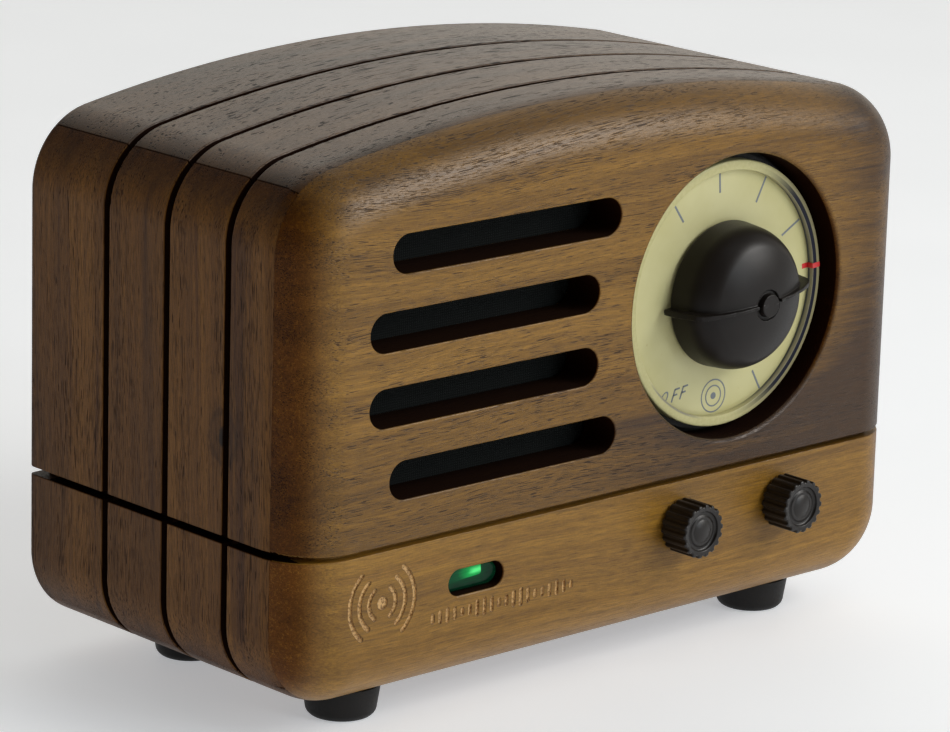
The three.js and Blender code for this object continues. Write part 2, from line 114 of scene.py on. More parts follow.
def arc_mark(u, h):
    """Emblem: a dot with three open arcs on either side, strokes 0.46 wide."""
    x, y = np.abs(u + 42.3), h - 14.2
    r = np.hypot(x, y)
    a = np.arctan2(np.abs(y), np.maximum(x, 1e-6))
    e = r - 0.85
    for R, lim in ((2.3, 0.95), (3.95, 0.92), (5.6, 0.88)):
        ex, ey = R * math.cos(lim), R * math.sin(lim)
        s = np.where(a < lim, np.abs(r - R), np.hypot(x - ex, np.abs(y) - ey)) - 0.3
        e = np.minimum(e, s)
    return e


def bar_mark(u, h):
    """Ornament: a row of upright strokes whose heights rise and fall."""
    e = np.full_like(u, 9.0)
    n = 20
    for i in range(n):
        cu = -33.4 + i * 25.0 / (n - 1)
        a = 0.15 + 0.85 * abs(math.sin(i * 0.62 + 0.5)) * (0.55 + 0.45 * math.sin(math.pi * (i + 0.5) / n))
        e = np.minimum(e, np.hypot(u - cu, np.maximum(np.abs(h - 10.3) - a, 0)) - 0.27)
    return e


def front_board(u, d, h):
    body = blank(u, d, h)
    f = rmax(body, d - T_FRONT, 0.03)
    for cu, ch in SLOTS:
        f = rmax(f, -stadium(u, h, cu, ch, 17.59, 2.62), 0.26)
    f = rmax(f, -(np.hypot(u - DX, h - DH) - 19.95), 0.85)
    f = rmax(f, -stadium(u, h, LEDX, LEDH, 3.05, 1.8), 0.3)
    for cu, ch in SMALL:
        f = rmax(f, -(np.hypot(u - cu, h - ch) - 2.6), 0.2)
    f = rmax(f, -cuts(u, d, h, body), 0.13)
    e = np.minimum(arc_mark(u, h), bar_mark(u, h))
    return rmax(f, -np.maximum(e, -(body + 0.28)), 0.08)


_t50 = (math.cos(math.radians(50)), math.sin(math.radians(50)))


def side_of(u, h, sign):
    """Negative on a side board's side of the two mitre planes."""
    x = sign * u
    top = (h - ZK) * _t50[0] - (x - XK) * _t50[1]
    c = math.sqrt(0.5)
    bot = -(h - RB) * c - (x - (_w - RB)) * c
    return np.maximum(np.maximum(top, bot), XK - 12 - x)


def shell(u, d, h):
    body = blank(u, d, h)
    o = outline(u, h)
    f = rmax(body, (T_FRONT + 0.04) - d, 0.03)
    f = rmax(f, -(o + T_WALL), 0.2)
    f = rmax(f, -np.maximum(o + 3.5, (53.0) - d), 0.25)
    f = rmax(f, -cuts(u, d, h, body), 0.13)
    return rmax(f, -rings(u, d, h, body), 0.15)


def holes_bottom(u, d, h, f):
    for x, y in FEET:
        f = rmax(f, -np.maximum(np.hypot(u - x, d - y) - 1.42, h - 7.2), 0.1)
    return f


def left_board(u, d, h):
    return rmax(shell(u, d, h), side_of(u, h, -1) + 0.008, 0.02)


def right_board(u, d, h):
    return rmax(shell(u, d, h), side_of(u, h, 1) + 0.008, 0.02)


def not_sides(u, h):
    return np.maximum(-side_of(u, h, -1), -side_of(u, h, 1)) + 0.008


def top_board(u, d, h):
    return rmax(shell(u, d, h), np.maximum(not_sides(u, h), 38 - h), 0.02)


def bottom_board(u, d, h):
    return holes_bottom(u, d, h, rmax(shell(u, d, h), np.maximum(not_sides(u, h), h - 38), 0.02))


def rear_panel(u, d, h):
    f = rmax(rmax(outline(u, h) + 3.65, 53.1 - d, 0.2), d - 56.6, 0.45)
    for x, z in PSCREWS:
        r = np.hypot(u - x, h - z)
        f = rmax(f, -(r - 1.35), 0.08)
        f = rmax(f, -(r - 2.4 - np.minimum(d - 56.05, 0) * 0.92) * 0.74, 0.1)
    q = np.hypot(np.maximum(np.abs(u - USB[0]) - 3.6, 0), np.maximum(np.abs(h - USB[1]) - 1.1, 0)) - 1.0
    f = rmax(f, -q, 0.3)
    return rmax(f, -(np.hypot(u - JACK[0], h - JACK[1]) - 3.3), 0.3)


BLADE = ((0, -6.16), (3.0, -6.02), (6.0, -5.5), (8.3, -4.78), (9.7, -4.1), (10.5, -3.4), (10.85, -2.6), (11.1, -1.2), (11.65, 2.75))
_bang = [math.atan2(-(q + 1.0), p) for p, q in BLADE]
_brad = [math.hypot(p, q + 1.0) for p, q in BLADE]
_fine = np.linspace(_bang[-1], _bang[0], 200)
_prof = np.interp(_fine, _bang[::-1], _brad[::-1])


def tuning_knob(u, d, h):
    x, z = u - DX, h - DH
    r = np.hypot(x, z)
    side = (r - (10.32 - 0.082 * (3.1 - d))) * 0.996
    dome = np.hypot(r, d - 11.4) - 17.27
    f = rmax(rmax(side, dome, 2.1), d - 3.1, 0.5)
    f = rmax(f, -np.maximum(r - 7.3, 0.4 - d), 0.2)
    f = rmax(f, -np.maximum(r - 3.05, -2.4 - d), 0.1)
    # thin blade across the dome and down both sides, turned six degrees
    c6, s6 = math.cos(math.radians(6)), math.sin(math.radians(6))
    x1, z1 = x * c6 + z * s6, -x * s6 + z * c6
    a = np.arctan2(-(d + 1.0), np.abs(x1))
    out = (np.hypot(x1, d + 1.0) - np.interp(a, _fine, _prof)) * 0.94
    half = 0.24 + 0.17 * np.clip((np.abs(x1) - 7.5) / 3.0, 0, 1)
    blade = rmax(rmax(np.abs(z1 - 0.22) - half, out, 0.12), d - 2.9, 0.15)
    blade = np.maximum(blade, np.minimum(8.6 - np.abs(x1), d + 3.0))
    f = smin(f, blade, 0.14)
    f = rmax(f, -np.maximum(np.abs(r - 1.85) - 0.27, d + 5.3), 0.07)
    hub = rmax(r - 1.58, -6.27 - d, 0.14)
    f = np.minimum(f, np.maximum(hub, d + 4.5))
    return f


def small_knob(k):
    cu, ch = SMALL[k]
    turn = (0.3, 1.1)[k]

    def f(u, d, h):
        x, z = u - cu, h - ch
        r = np.hypot(x, z)
        a = np.arctan2(z, x) + turn
        w = np.cos(18 * a)
        R = 3.64 + 0.17 * np.tanh(2.2 * w)
        s = rmax((r - R) * 0.94, (-4.62 - 0.3 * np.clip((r - 2.3) / 1.2, 0, 1)) - d, 0.3)
        s = rmax(s, d + 0.3, 0.2)
        s = rmax(s, -(np.hypot((r - 2.42) / 0.38, (d + 4.66) / 0.34) - 1) * 0.34, 0.12)
        dome = np.hypot(r, d + 1.48) - 3.49
        dome = rmax(dome, r - 2.12, 0.2)
        s = rmax(s, -np.maximum(r - 2.2, d + 4.55), 0.1)
        s = np.minimum(s, np.maximum(dome, d + 3.3))
        s = rmax(s, -np.maximum(r - 1.55, -3.1 - d), 0.05)
        return s
    return f


def led_lens(u, d, h):
    q = stadium(u, h, LEDX, LEDH, 3.05, 1.62)
    f = rmax(q, (1.15 + 0.05 * (h - LEDH) ** 2) - d, 0.3)
    f = np.maximum(f, d - 7.0)
    g = rmax(rmax(stadium(u, h, LEDX, LEDH, 3.6, 2.9), 6.45 - d, 0.2), d - 7.6, 0.2)
    return np.minimum(f, g)


def screw_head(cu, cd, ch, axis, r, deep, dome):
    """Cross-head screw head whose top is at the given point and faces along axis (+d or -h)."""
    def f(u, d, h):
        if axis == "d":
            t, x, z = d - cd, u - cu, h - ch
        else:
            t, x, z = ch - h, u - cu, d - cd
        p = np.hypot(x, z)
        if dome:
            s = rmax(rmax(p - r, t + p * p * 0.07, 0.3), -t - deep, 0.1)
        else:
            s = rmax(np.maximum(p - r, (p - r - t - 0.3) * 0.7), t, 0.12)
            s = np.maximum(s, -t - deep)
        for a, b in ((x, z), (z, x)):
            slot = np.maximum(np.maximum(np.abs(a) - 0.27 - 0.12 * t, np.abs(b) - 1.25 - 0.7 * t), -t - 0.95)
            s = rmax(s, -slot, 0.05)
        return s
    return f


def usb_shell(u, d, h):
    x, z = np.abs(u - USB[0]), np.abs(h - USB[1])
    o = np.hypot(np.maximum(x - 3.3, 0), np.maximum(z - 0.9, 0)) - 0.6
    f = rmax(rmax(o, 47.65 - d, 0.1), d - 56.0, 0.12)
    i = np.hypot(np.maximum(x - 3.1, 0), np.maximum(z - 0.75, 0)) - 0.45
    f = rmax(f, -np.maximum(i, 50.5 - d), 0.08)
    tongue = rmax(rmax(x - 2.4, z - 0.3, 0.1), d - 55.2, 0.15)
    return np.minimum(f, np.maximum(tongue, 50.0 - d))


def jack_shell(u, d, h):
    x, z = u - JACK[0], h - JACK[1]
    r = np.hypot(x, z)
    f = rmax(rmax(rmax(np.abs(x) - 4, np.abs(z) - 4, 0.4), 47.65 - d, 0.2), d - 53.0, 0.2)
    g = rmax(r - 3.0, d - 56.2, 0.35)
    f = np.minimum(f, np.maximum(g, 52 - d))
    return rmax(f, -np.maximum(r - 1.8, 49 - d), 0.2)


# --------------------------------------------------------------- mesh making
def spans(*parts):
    """Grid lines: parts are (start, end, step), joined end to end."""
    out = []
    for a, b, s in parts:
        n = max(1, int(round((b - a) / s)))
        out.append(np.linspace(a, b, n, endpoint=False))
    out.append(np.array([parts[-1][1]], float))
    return np.concatenate(out)


def skin(f, us, ds, hs, steps=4, edges=()):
    """Closed quad mesh on the zero level of f over a rectilinear grid: one vertex in each
    grid cell that the surface crosses, then moved on to the surface."""
    # the grid lines are shifted by a hair so that none lies in a flat face
    us, ds, hs = us + 0.00137, ds + 0.00171, hs + 0.00193
    U, Dd, Hh = np.meshgrid(us, ds, hs, indexing="ij")
    V = f(U, Dd, Hh)
    del U, Dd, Hh
    V = np.where(V == 0, 1e-9, V)
    s = V < 0
    nu, nd, nh = V.shape
    cell = np.zeros((nu - 1, nd - 1, nh - 1), np.int8)
    for i in (0, 1):
        for j in (0, 1):
            for k in (0, 1):
                cell += s[i:nu - 1 + i, j:nd - 1 + j, k:nh - 1 + k]
    act = (cell > 0) & (cell < 8)
    ci, cj, ck = np.nonzero(act)
    index = np.full(act.shape, -1, np.int64)
    index[ci, cj, ck] = np.arange(len(ci))
    g = (us, ds, hs)
    acc = np.zeros((len(ci), 3))
    cnt = np.zeros(len(ci))
    for axis in range(3):
        for p in (0, 1):
            for q in (0, 1):
                off = [0, 0, 0]
                o = [a for a in range(3) if a != axis]
                off[o[0]], off[o[1]] = p, q
                a = (ci + off[0], cj + off[1], ck + off[2])
                off[axis] = 1
                b = (ci + off[0], cj + off[1], ck + off[2])
                va, vb = V[a], V[b]
                m = (va < 0) != (vb < 0)
                t = np.where(m, va / np.where(m, va - vb, 1), 0)
                for ax in range(3):
                    pa, pb = g[ax][a[ax]], g[ax][b[ax]]
                    acc[:, ax] += np.where(m, pa + t * (pb - pa), 0)
                cnt += m
    P = acc / cnt[:, None]
    quads = []
    for axis in range(3):
        o = [a for a in range(3) if a != axis]
        sl0 = [slice(None)] * 3
        sl1 = [slice(None)] * 3
        sl0[axis], sl1[axis] = slice(0, -1), slice(1, None)
        for ax in o:
            sl0[ax] = slice(1, -1)
            sl1[ax] = slice(1, -1)
        a, b = s[tuple(sl0)], s[tuple(sl1)]
        i, j, k = np.nonzero(a != b)
        e = [i, j, k]
        e[o[0]] = e[o[0]] + 1
        e[o[1]] = e[o[1]] + 1

        def c(p, q):
            x = [e[0], e[1], e[2]]
            x[o[0]] = x[o[0]] - p
            x[o[1]] = x[o[1]] - q
            return index[x[0], x[1], x[2]]
        quad = np.stack([c(1, 1), c(0, 1), c(0, 0), c(1, 0)], 1)
        flip = a[i, j, k] if axis != 1 else ~a[i, j, k]
        quad[~flip] = quad[~flip][:, ::-1]
        quads.append(quad)
    F = np.concatenate(quads)
    F = F[(F >= 0).all(1)]

    def grad(P):
        e = 0.004
        G = np.empty_like(P)
        for ax in range(3):
            lo, hi = P.copy(), P.copy()
            lo[:, ax] -= e
            hi[:, ax] += e
            G[:, ax] = (f(hi[:, 0], hi[:, 1], hi[:, 2]) - f(lo[:, 0], lo[:, 1], lo[:, 2])) / (2 * e)
        return G
    start = P.copy()
    for _ in range(steps):
        G = grad(P)
        v = f(P[:, 0], P[:, 1], P[:, 2])
        n2 = np.maximum((G * G).sum(1), 0.2)
        move = -(v / n2)[:, None] * G
        ln = np.linalg.norm(move, axis=1)
        move *= np.minimum(1, 0.25 / np.maximum(ln, 1e-9))[:, None]
        P = P + move
    far = np.linalg.norm(P - start, axis=1) > 0.6
    P[far] = start[far]

    def grad1(g, P):
        G = np.empty_like(P)
        for ax in range(3):
            lo, hi = P.copy(), P.copy()
            lo[:, ax] -= 0.004
            hi[:, ax] += 0.004
            G[:, ax] = (g(hi[:, 0], hi[:, 1], hi[:, 2]) - g(lo[:, 0], lo[:, 1], lo[:, 2])) / 0.008
        return G
    for A, B, ta, tb in edges:
        m = np.nonzero((np.abs(A(*P.T)) < ta) & (np.abs(B(*P.T)) < tb))[0]
        Q = P[m].copy()
        for _ in range(4):
            va, vb = A(*Q.T), B(*Q.T)
            ga, gb = grad1(A, Q), grad1(B, Q)
            aa, bb, ab = (ga * ga).sum(1), (gb * gb).sum(1), (ga * gb).sum(1)
            det = np.maximum(aa * bb - ab * ab, 1e-3)
            la, lb = (bb * va - ab * vb) / det, (aa * vb - ab * va) / det
            Q = Q - la[:, None] * ga - lb[:, None] * gb
        ok = np.linalg.norm(Q - P[m], axis=1) < 0.4
        P[m[ok]] = Q[ok]
    G = grad(P)
    N = G / np.maximum(np.linalg.norm(G, axis=1), 1e-9)[:, None]
    return P, F, N


def row(P):
    return (np.asarray(P, float) + np.array([0, Y0, Z0])) * 0.001


def mesh_object(name, P, F, N=None, attrs=None, smooth=True):
    """P in design mm, F an array of quads or a list of faces."""
    me = bpy.data.meshes.new(name)
    co = row(P)
    if isinstance(F, np.ndarray):
        me.vertices.add(len(co))
        me.vertices.foreach_set("co", co.astype(np.float32).ravel())
        k = F.shape[1]
        me.loops.add(F.size)
        me.loops.foreach_set("vertex_index", F.astype(np.int32).ravel())
        me.polygons.add(len(F))
        me.polygons.foreach_set("loop_start", np.arange(0, F.size, k, dtype=np.int32))
        me.update(calc_edges=True)
    else:
        me.from_pydata([tuple(p) for p in co], [], [tuple(int(i) for i in q) for q in F])
    me.validate()
    me.polygons.foreach_set("use_smooth", np.full(len(me.polygons), smooth))
    if attrs:
        for key, val in attrs.items():
            at = me.attributes.new(key, "FLOAT", "POINT")
            at.data.foreach_set("value", np.asarray(val, np.float32))
    if N is not None:
        me.normals_split_custom_set_from_vertices([tuple(n) for n in N])
    me.update()
    ob = bpy.data.objects.new(name, me)
    SCENE.collection.objects.link(ob)
    return ob


def shaped(name, f, us, ds, hs, depth_dark=False, flat=0.02, edges=()):
    """Object on the zero level of f, its flat areas joined into large faces."""
    P, F, N = skin(f, us, ds, hs, edges=edges)
    me = bpy.data.meshes.new("tmp")
    me.vertices.add(len(P))
    me.vertices.foreach_set("co", P.astype(np.float32).ravel())
    me.loops.add(F.size)
    me.loops.foreach_set("vertex_index", F.astype(np.int32).ravel())
    me.polygons.add(len(F))
    me.polygons.foreach_set("loop_start", np.arange(0, F.size, 4, dtype=np.int32))
    me.update(calc_edges=True)
    bm = bmesh.new()
    bm.from_mesh(me)
    bpy.data.meshes.remove(me)
    if flat:
        bmesh.ops.dissolve_limit(bm, angle_limit=math.radians(flat), verts=bm.verts, edges=bm.edges,
                                 use_dissolve_boundaries=False, delimit=set())
        big = [p for p in bm.faces if len(p.verts) > 4]
        bmesh.ops.triangulate(bm, faces=big, quad_method="BEAUTY", ngon_method="BEAUTY")
    bm.verts.ensure_lookup_table()
    P = np.array([v.co[:] for v in bm.verts])
    faces = [[v.index for v in p.verts] for p in bm.faces]
    bm.free()
    e = 0.004
    G = np.empty_like(P)
    for ax in range(3):
        lo, hi = P.copy(), P.copy()
        lo[:, ax] -= e
        hi[:, ax] += e
        G[:, ax] = f(hi[:, 0], hi[:, 1], hi[:, 2]) - f(lo[:, 0], lo[:, 1], lo[:, 2])
    N = G / np.maximum(np.linalg.norm(G, axis=1), 1e-9)[:, None]
    attrs = None
    if depth_dark:
        u, d, h = P.T
        body = blank(u, d, h)
        skin_n = np.abs(body) < 0.02
        e = 0.004
        for ax in range(3):
            lo, hi = P.copy(), P.copy()
            lo[:, ax] -= e
            hi[:, ax] += e
            g = (blank(*hi.T) - blank(*lo.T)) / (2 * e)
            N[skin_n, ax] = g[skin_n]
        N[skin_n] /= np.maximum(np.linalg.norm(N[skin_n], axis=1), 1e-9)[:, None]
        near = (np.abs(h - BELT) < 1.0) | (np.min([np.abs(d - y) for y in RINGS], axis=0) < 0.95)
        near &= d < 52.5
        near &= outline(u, h) > -2.6
        for cu, ch in SLOTS:
            near |= (np.abs(stadium(u, h, cu, ch, 17.59, 2.62)) < 0.5) & (d < 6.0)
        near |= (np.abs(np.hypot(u - DX, h - DH) - 19.95) < 1.2) & (d < 6.0)
        near |= (np.abs(stadium(u, h, LEDX, LEDH, 3.05, 1.8)) < 0.45) & (d < 6.0)
        e2 = np.minimum(arc_mark(u, h), bar_mark(u, h))
        carve = ((e2 < 0.14) & (d < 0.9)).astype(float) * np.clip((-body - 0.01) / 0.06, 0, 1)
        dial = (np.abs(np.hypot(u - DX, h - DH) - 19.95) < 1.2) & (d < 6.0)
        # inset: depth below the outer surface near the cuts, slots, dial hole and window hole, which the walnut
        # material turns near black
        deep = np.where(dial, np.clip(-body - 0.35, 0, 5), np.maximum(-body, 0))
        attrs = {"inset": np.where(near & (carve == 0), deep, 0), "carve": carve}
    return mesh_object(name, P, faces, N, attrs)


def turned(name, profile, centre, axis="d", n=96, round_r=None):
    """Body of revolution: profile of (radius, position) in design mm, closed on the axis or on
    itself. axis "d" turns about the depth at (u, h); axis "h" about the vertical at (u, d)."""
    pts = [tuple(p) for p in profile]
    on_axis = pts[0][0] < 1e-9 and pts[-1][0] < 1e-9
    area = sum(pts[i][0] * pts[(i + 1) % len(pts)][1] - pts[(i + 1) % len(pts)][0] * pts[i][1] for i in range(len(pts)))
    if area < 0:
        pts.reverse()
    verts, faces, ringid = [], [], []
    ang = np.arange(n) * 2 * math.pi / n
    for r, t in pts:
        if r < 1e-9:
            ringid.append([len(verts)])
            verts.append((0, 0, t))
        else:
            ringid.append(list(range(len(verts), len(verts) + n)))
            verts += [(r * math.cos(a), r * math.sin(a), t) for a in ang]
    m = len(pts)
    for i in range(m if not on_axis else m - 1):
        a, b = ringid[i], ringid[(i + 1) % m]
        for k in range(n):
            k2 = (k + 1) % n
            if len(a) == 1:
                faces.append((a[0], b[k2], b[k]))
            elif len(b) == 1:
                faces.append((a[k], a[k2], b[0]))
            else:
                faces.append((a[k], a[k2], b[k2], b[k]))
    V = np.array(verts)
    if axis == "d":
        P = np.stack([V[:, 0] + centre[0], V[:, 2], V[:, 1] + centre[1]], 1)
        faces = [tuple(reversed(q)) for q in faces]
    else:
        P = np.stack([V[:, 0] + centre[0], V[:, 1] + centre[1], V[:, 2]], 1)
    ob = mesh_object(name, P, faces)
    return ob


def rounded(points, r, n=4):
    """Profile polyline with its corners filleted: points are (radius, t[, r])."""
    out = []
    m = len(points)
    for i, p in enumerate(points):
        rr = p[2] if len(p) > 2 else r
        if i in (0, m - 1) or rr <= 0:
            out.append((p[0], p[1]))
            continue
        a, b, c = (np.array(points[j][:2], float) for j in (i - 1, i, i + 1))
        v1, v2 = a - b, c - b
        l1, l2 = np.linalg.norm(v1), np.linalg.norm(v2)
        v1, v2 = v1 / l1, v2 / l2
        t = min(rr, l1 * 0.48, l2 * 0.48)
        p1, p2 = b + v1 * t, b + v2 * t
        for k in range(n + 1):
            s = k / n
            q = (1 - s) ** 2 * p1 + 2 * s * (1 - s) * b + s * s * p2
            out.append((float(q[0]), float(q[1])))
    return out


def soften(ob, angle=35):
    """Smooth shading with creases kept sharp."""
    me = ob.data
    bm = bmesh.new()
    bm.from_mesh(me)
    bmesh.ops.recalc_face_normals(bm, faces=bm.faces)
    for e in bm.edges:
        e.smooth = not (len(e.link_faces) == 2 and e.calc_face_angle(0) > math.radians(angle))
    for p in bm.faces:
        p.smooth = True
    bm.to_mesh(me)
    bm.free()
    me.update()
    return ob


def finish_piece(ob, body, nodes, mats):
    for m in (mats if isinstance(mats, (list, tuple)) else [mats]):
        ob.data.materials.append(m)
    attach(ob, body)
    if nodes:
        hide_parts(*nodes)
    return ob


# ------------------------------------------------------------------ materials
def lin(r, g, b):
    """sRGB 0..255 to a linear colour."""
    f = lambda c: (c / 12.92 if c <= 0.04045 else ((c + 0.055) / 1.055) ** 2.4)
    return (f(r / 255), f(g / 255), f(b / 255), 1.0)


class Mat:
    def __init__(self, name):
        self.mat = bpy.data.materials.new(name)
        self.mat.use_nodes = True
        self.t = self.mat.node_tree
        self.t.nodes.clear()
        self.out = self.t.nodes.new("ShaderNodeOutputMaterial")
        self.bsdf = self.t.nodes.new("ShaderNodeBsdfPrincipled")
        self.t.links.new(self.bsdf.outputs[0], self.out.inputs[0])
        tc = self.t.nodes.new("ShaderNodeTexCoord")
        mm = self.t.nodes.new("ShaderNodeVectorMath")
        mm.operation = "SCALE"
        mm.inputs[3].default_value = 1000
        self.t.links.new(tc.outputs["Object"], mm.inputs[0])
        self.pos = mm.outputs[0]                     # position in mm, row frame
        sep = self.t.nodes.new("ShaderNodeSeparateXYZ")
        self.t.links.new(self.pos, sep.inputs[0])
        self.x, self.y, self.z = sep.outputs

    def put(self, sock, v):
        if isinstance(v, bpy.types.NodeSocket):
            self.t.links.new(v, sock)
        elif v is not None:
            if sock.type in ("RGBA",) and not isinstance(v, (int, float)) and len(v) == 3:
                v = (*v, 1)
            sock.default_value = v

    def math(self, op, a, b=None, c=None, clamp=False):
        n = self.t.nodes.new("ShaderNodeMath")
        n.operation = op
        n.use_clamp = clamp
        for s, v in zip(n.inputs, (a, b, c)):
            self.put(s, v)
        return n.outputs[0]

    def add(self, a, b): return self.math("ADD", a, b)
    def sub(self, a, b): return self.math("SUBTRACT", a, b)
    def mul(self, a, b): return self.math("MULTIPLY", a, b)

    def vec(self, x, y, z):
        n = self.t.nodes.new("ShaderNodeCombineXYZ")
        for s, v in zip(n.inputs, (x, y, z)):
            self.put(s, v)
        return n.outputs[0]

    def noise(self, vector, scale=1.0, detail=2.0, rough=0.5, distort=0.0, dim="3D"):
        n = self.t.nodes.new("ShaderNodeTexNoise")
        n.noise_dimensions = dim
        self.put(n.inputs["Vector"], vector)
        n.inputs["Scale"].default_value = scale
        n.inputs["Detail"].default_value = detail
        n.inputs["Roughness"].default_value = rough
        n.inputs["Distortion"].default_value = distort
        return n.outputs[0]

    def voronoi(self, vector, scale=1.0, feature="F1"):
        n = self.t.nodes.new("ShaderNodeTexVoronoi")
        n.feature = feature
        self.put(n.inputs["Vector"], vector)
        n.inputs["Scale"].default_value = scale
        return n.outputs["Distance"]

    def smooth(self, v, a, b, lo=0.0, hi=1.0):
        n = self.t.nodes.new("ShaderNodeMapRange")
        n.interpolation_type = "SMOOTHSTEP"
        self.put(n.inputs[0], v)
        for s, q in zip(n.inputs[1:5], (a, b, lo, hi)):
            self.put(s, q)
        return n.outputs[0]

    def ramp(self, v, stops):
        n = self.t.nodes.new("ShaderNodeValToRGB")
        self.put(n.inputs[0], v)
        e = n.color_ramp.elements
        while len(e) < len(stops):
            e.new(0.5)
        for el, (p, c) in zip(e, stops):
            el.position = p
            el.color = c
        return n.outputs[0]

    def mix(self, f, a, b, mode="MIX"):
        n = self.t.nodes.new("ShaderNodeMix")
        n.data_type = "RGBA"
        n.blend_type = mode
        self.put(n.inputs[0], f)
        self.put(n.inputs[6], a)
        self.put(n.inputs[7], b)
        return n.outputs[2]

    def attr(self, name):
        n = self.t.nodes.new("ShaderNodeAttribute")
        n.attribute_name = name
        return n.outputs["Fac"]

    def bump(self, height, strength, dist=0.0001, normal=None):
        n = self.t.nodes.new("ShaderNodeBump")
        n.inputs["Strength"].default_value = strength
        n.inputs["Distance"].default_value = dist
        self.put(n.inputs["Height"], height)
        if normal is not None:
            self.put(n.inputs["Normal"], normal)
        return n.outputs[0]

    def normal_axis(self):
        g = self.t.nodes.new("ShaderNodeNewGeometry")
        s = self.t.nodes.new("ShaderNodeSeparateXYZ")
        self.t.links.new(g.outputs["Normal"], s.inputs[0])
        return s.outputs

    def set(self, **kw):
        for k, v in kw.items():
            self.put(self.bsdf.inputs[k.replace("_", " ")], v)
        return self.mat


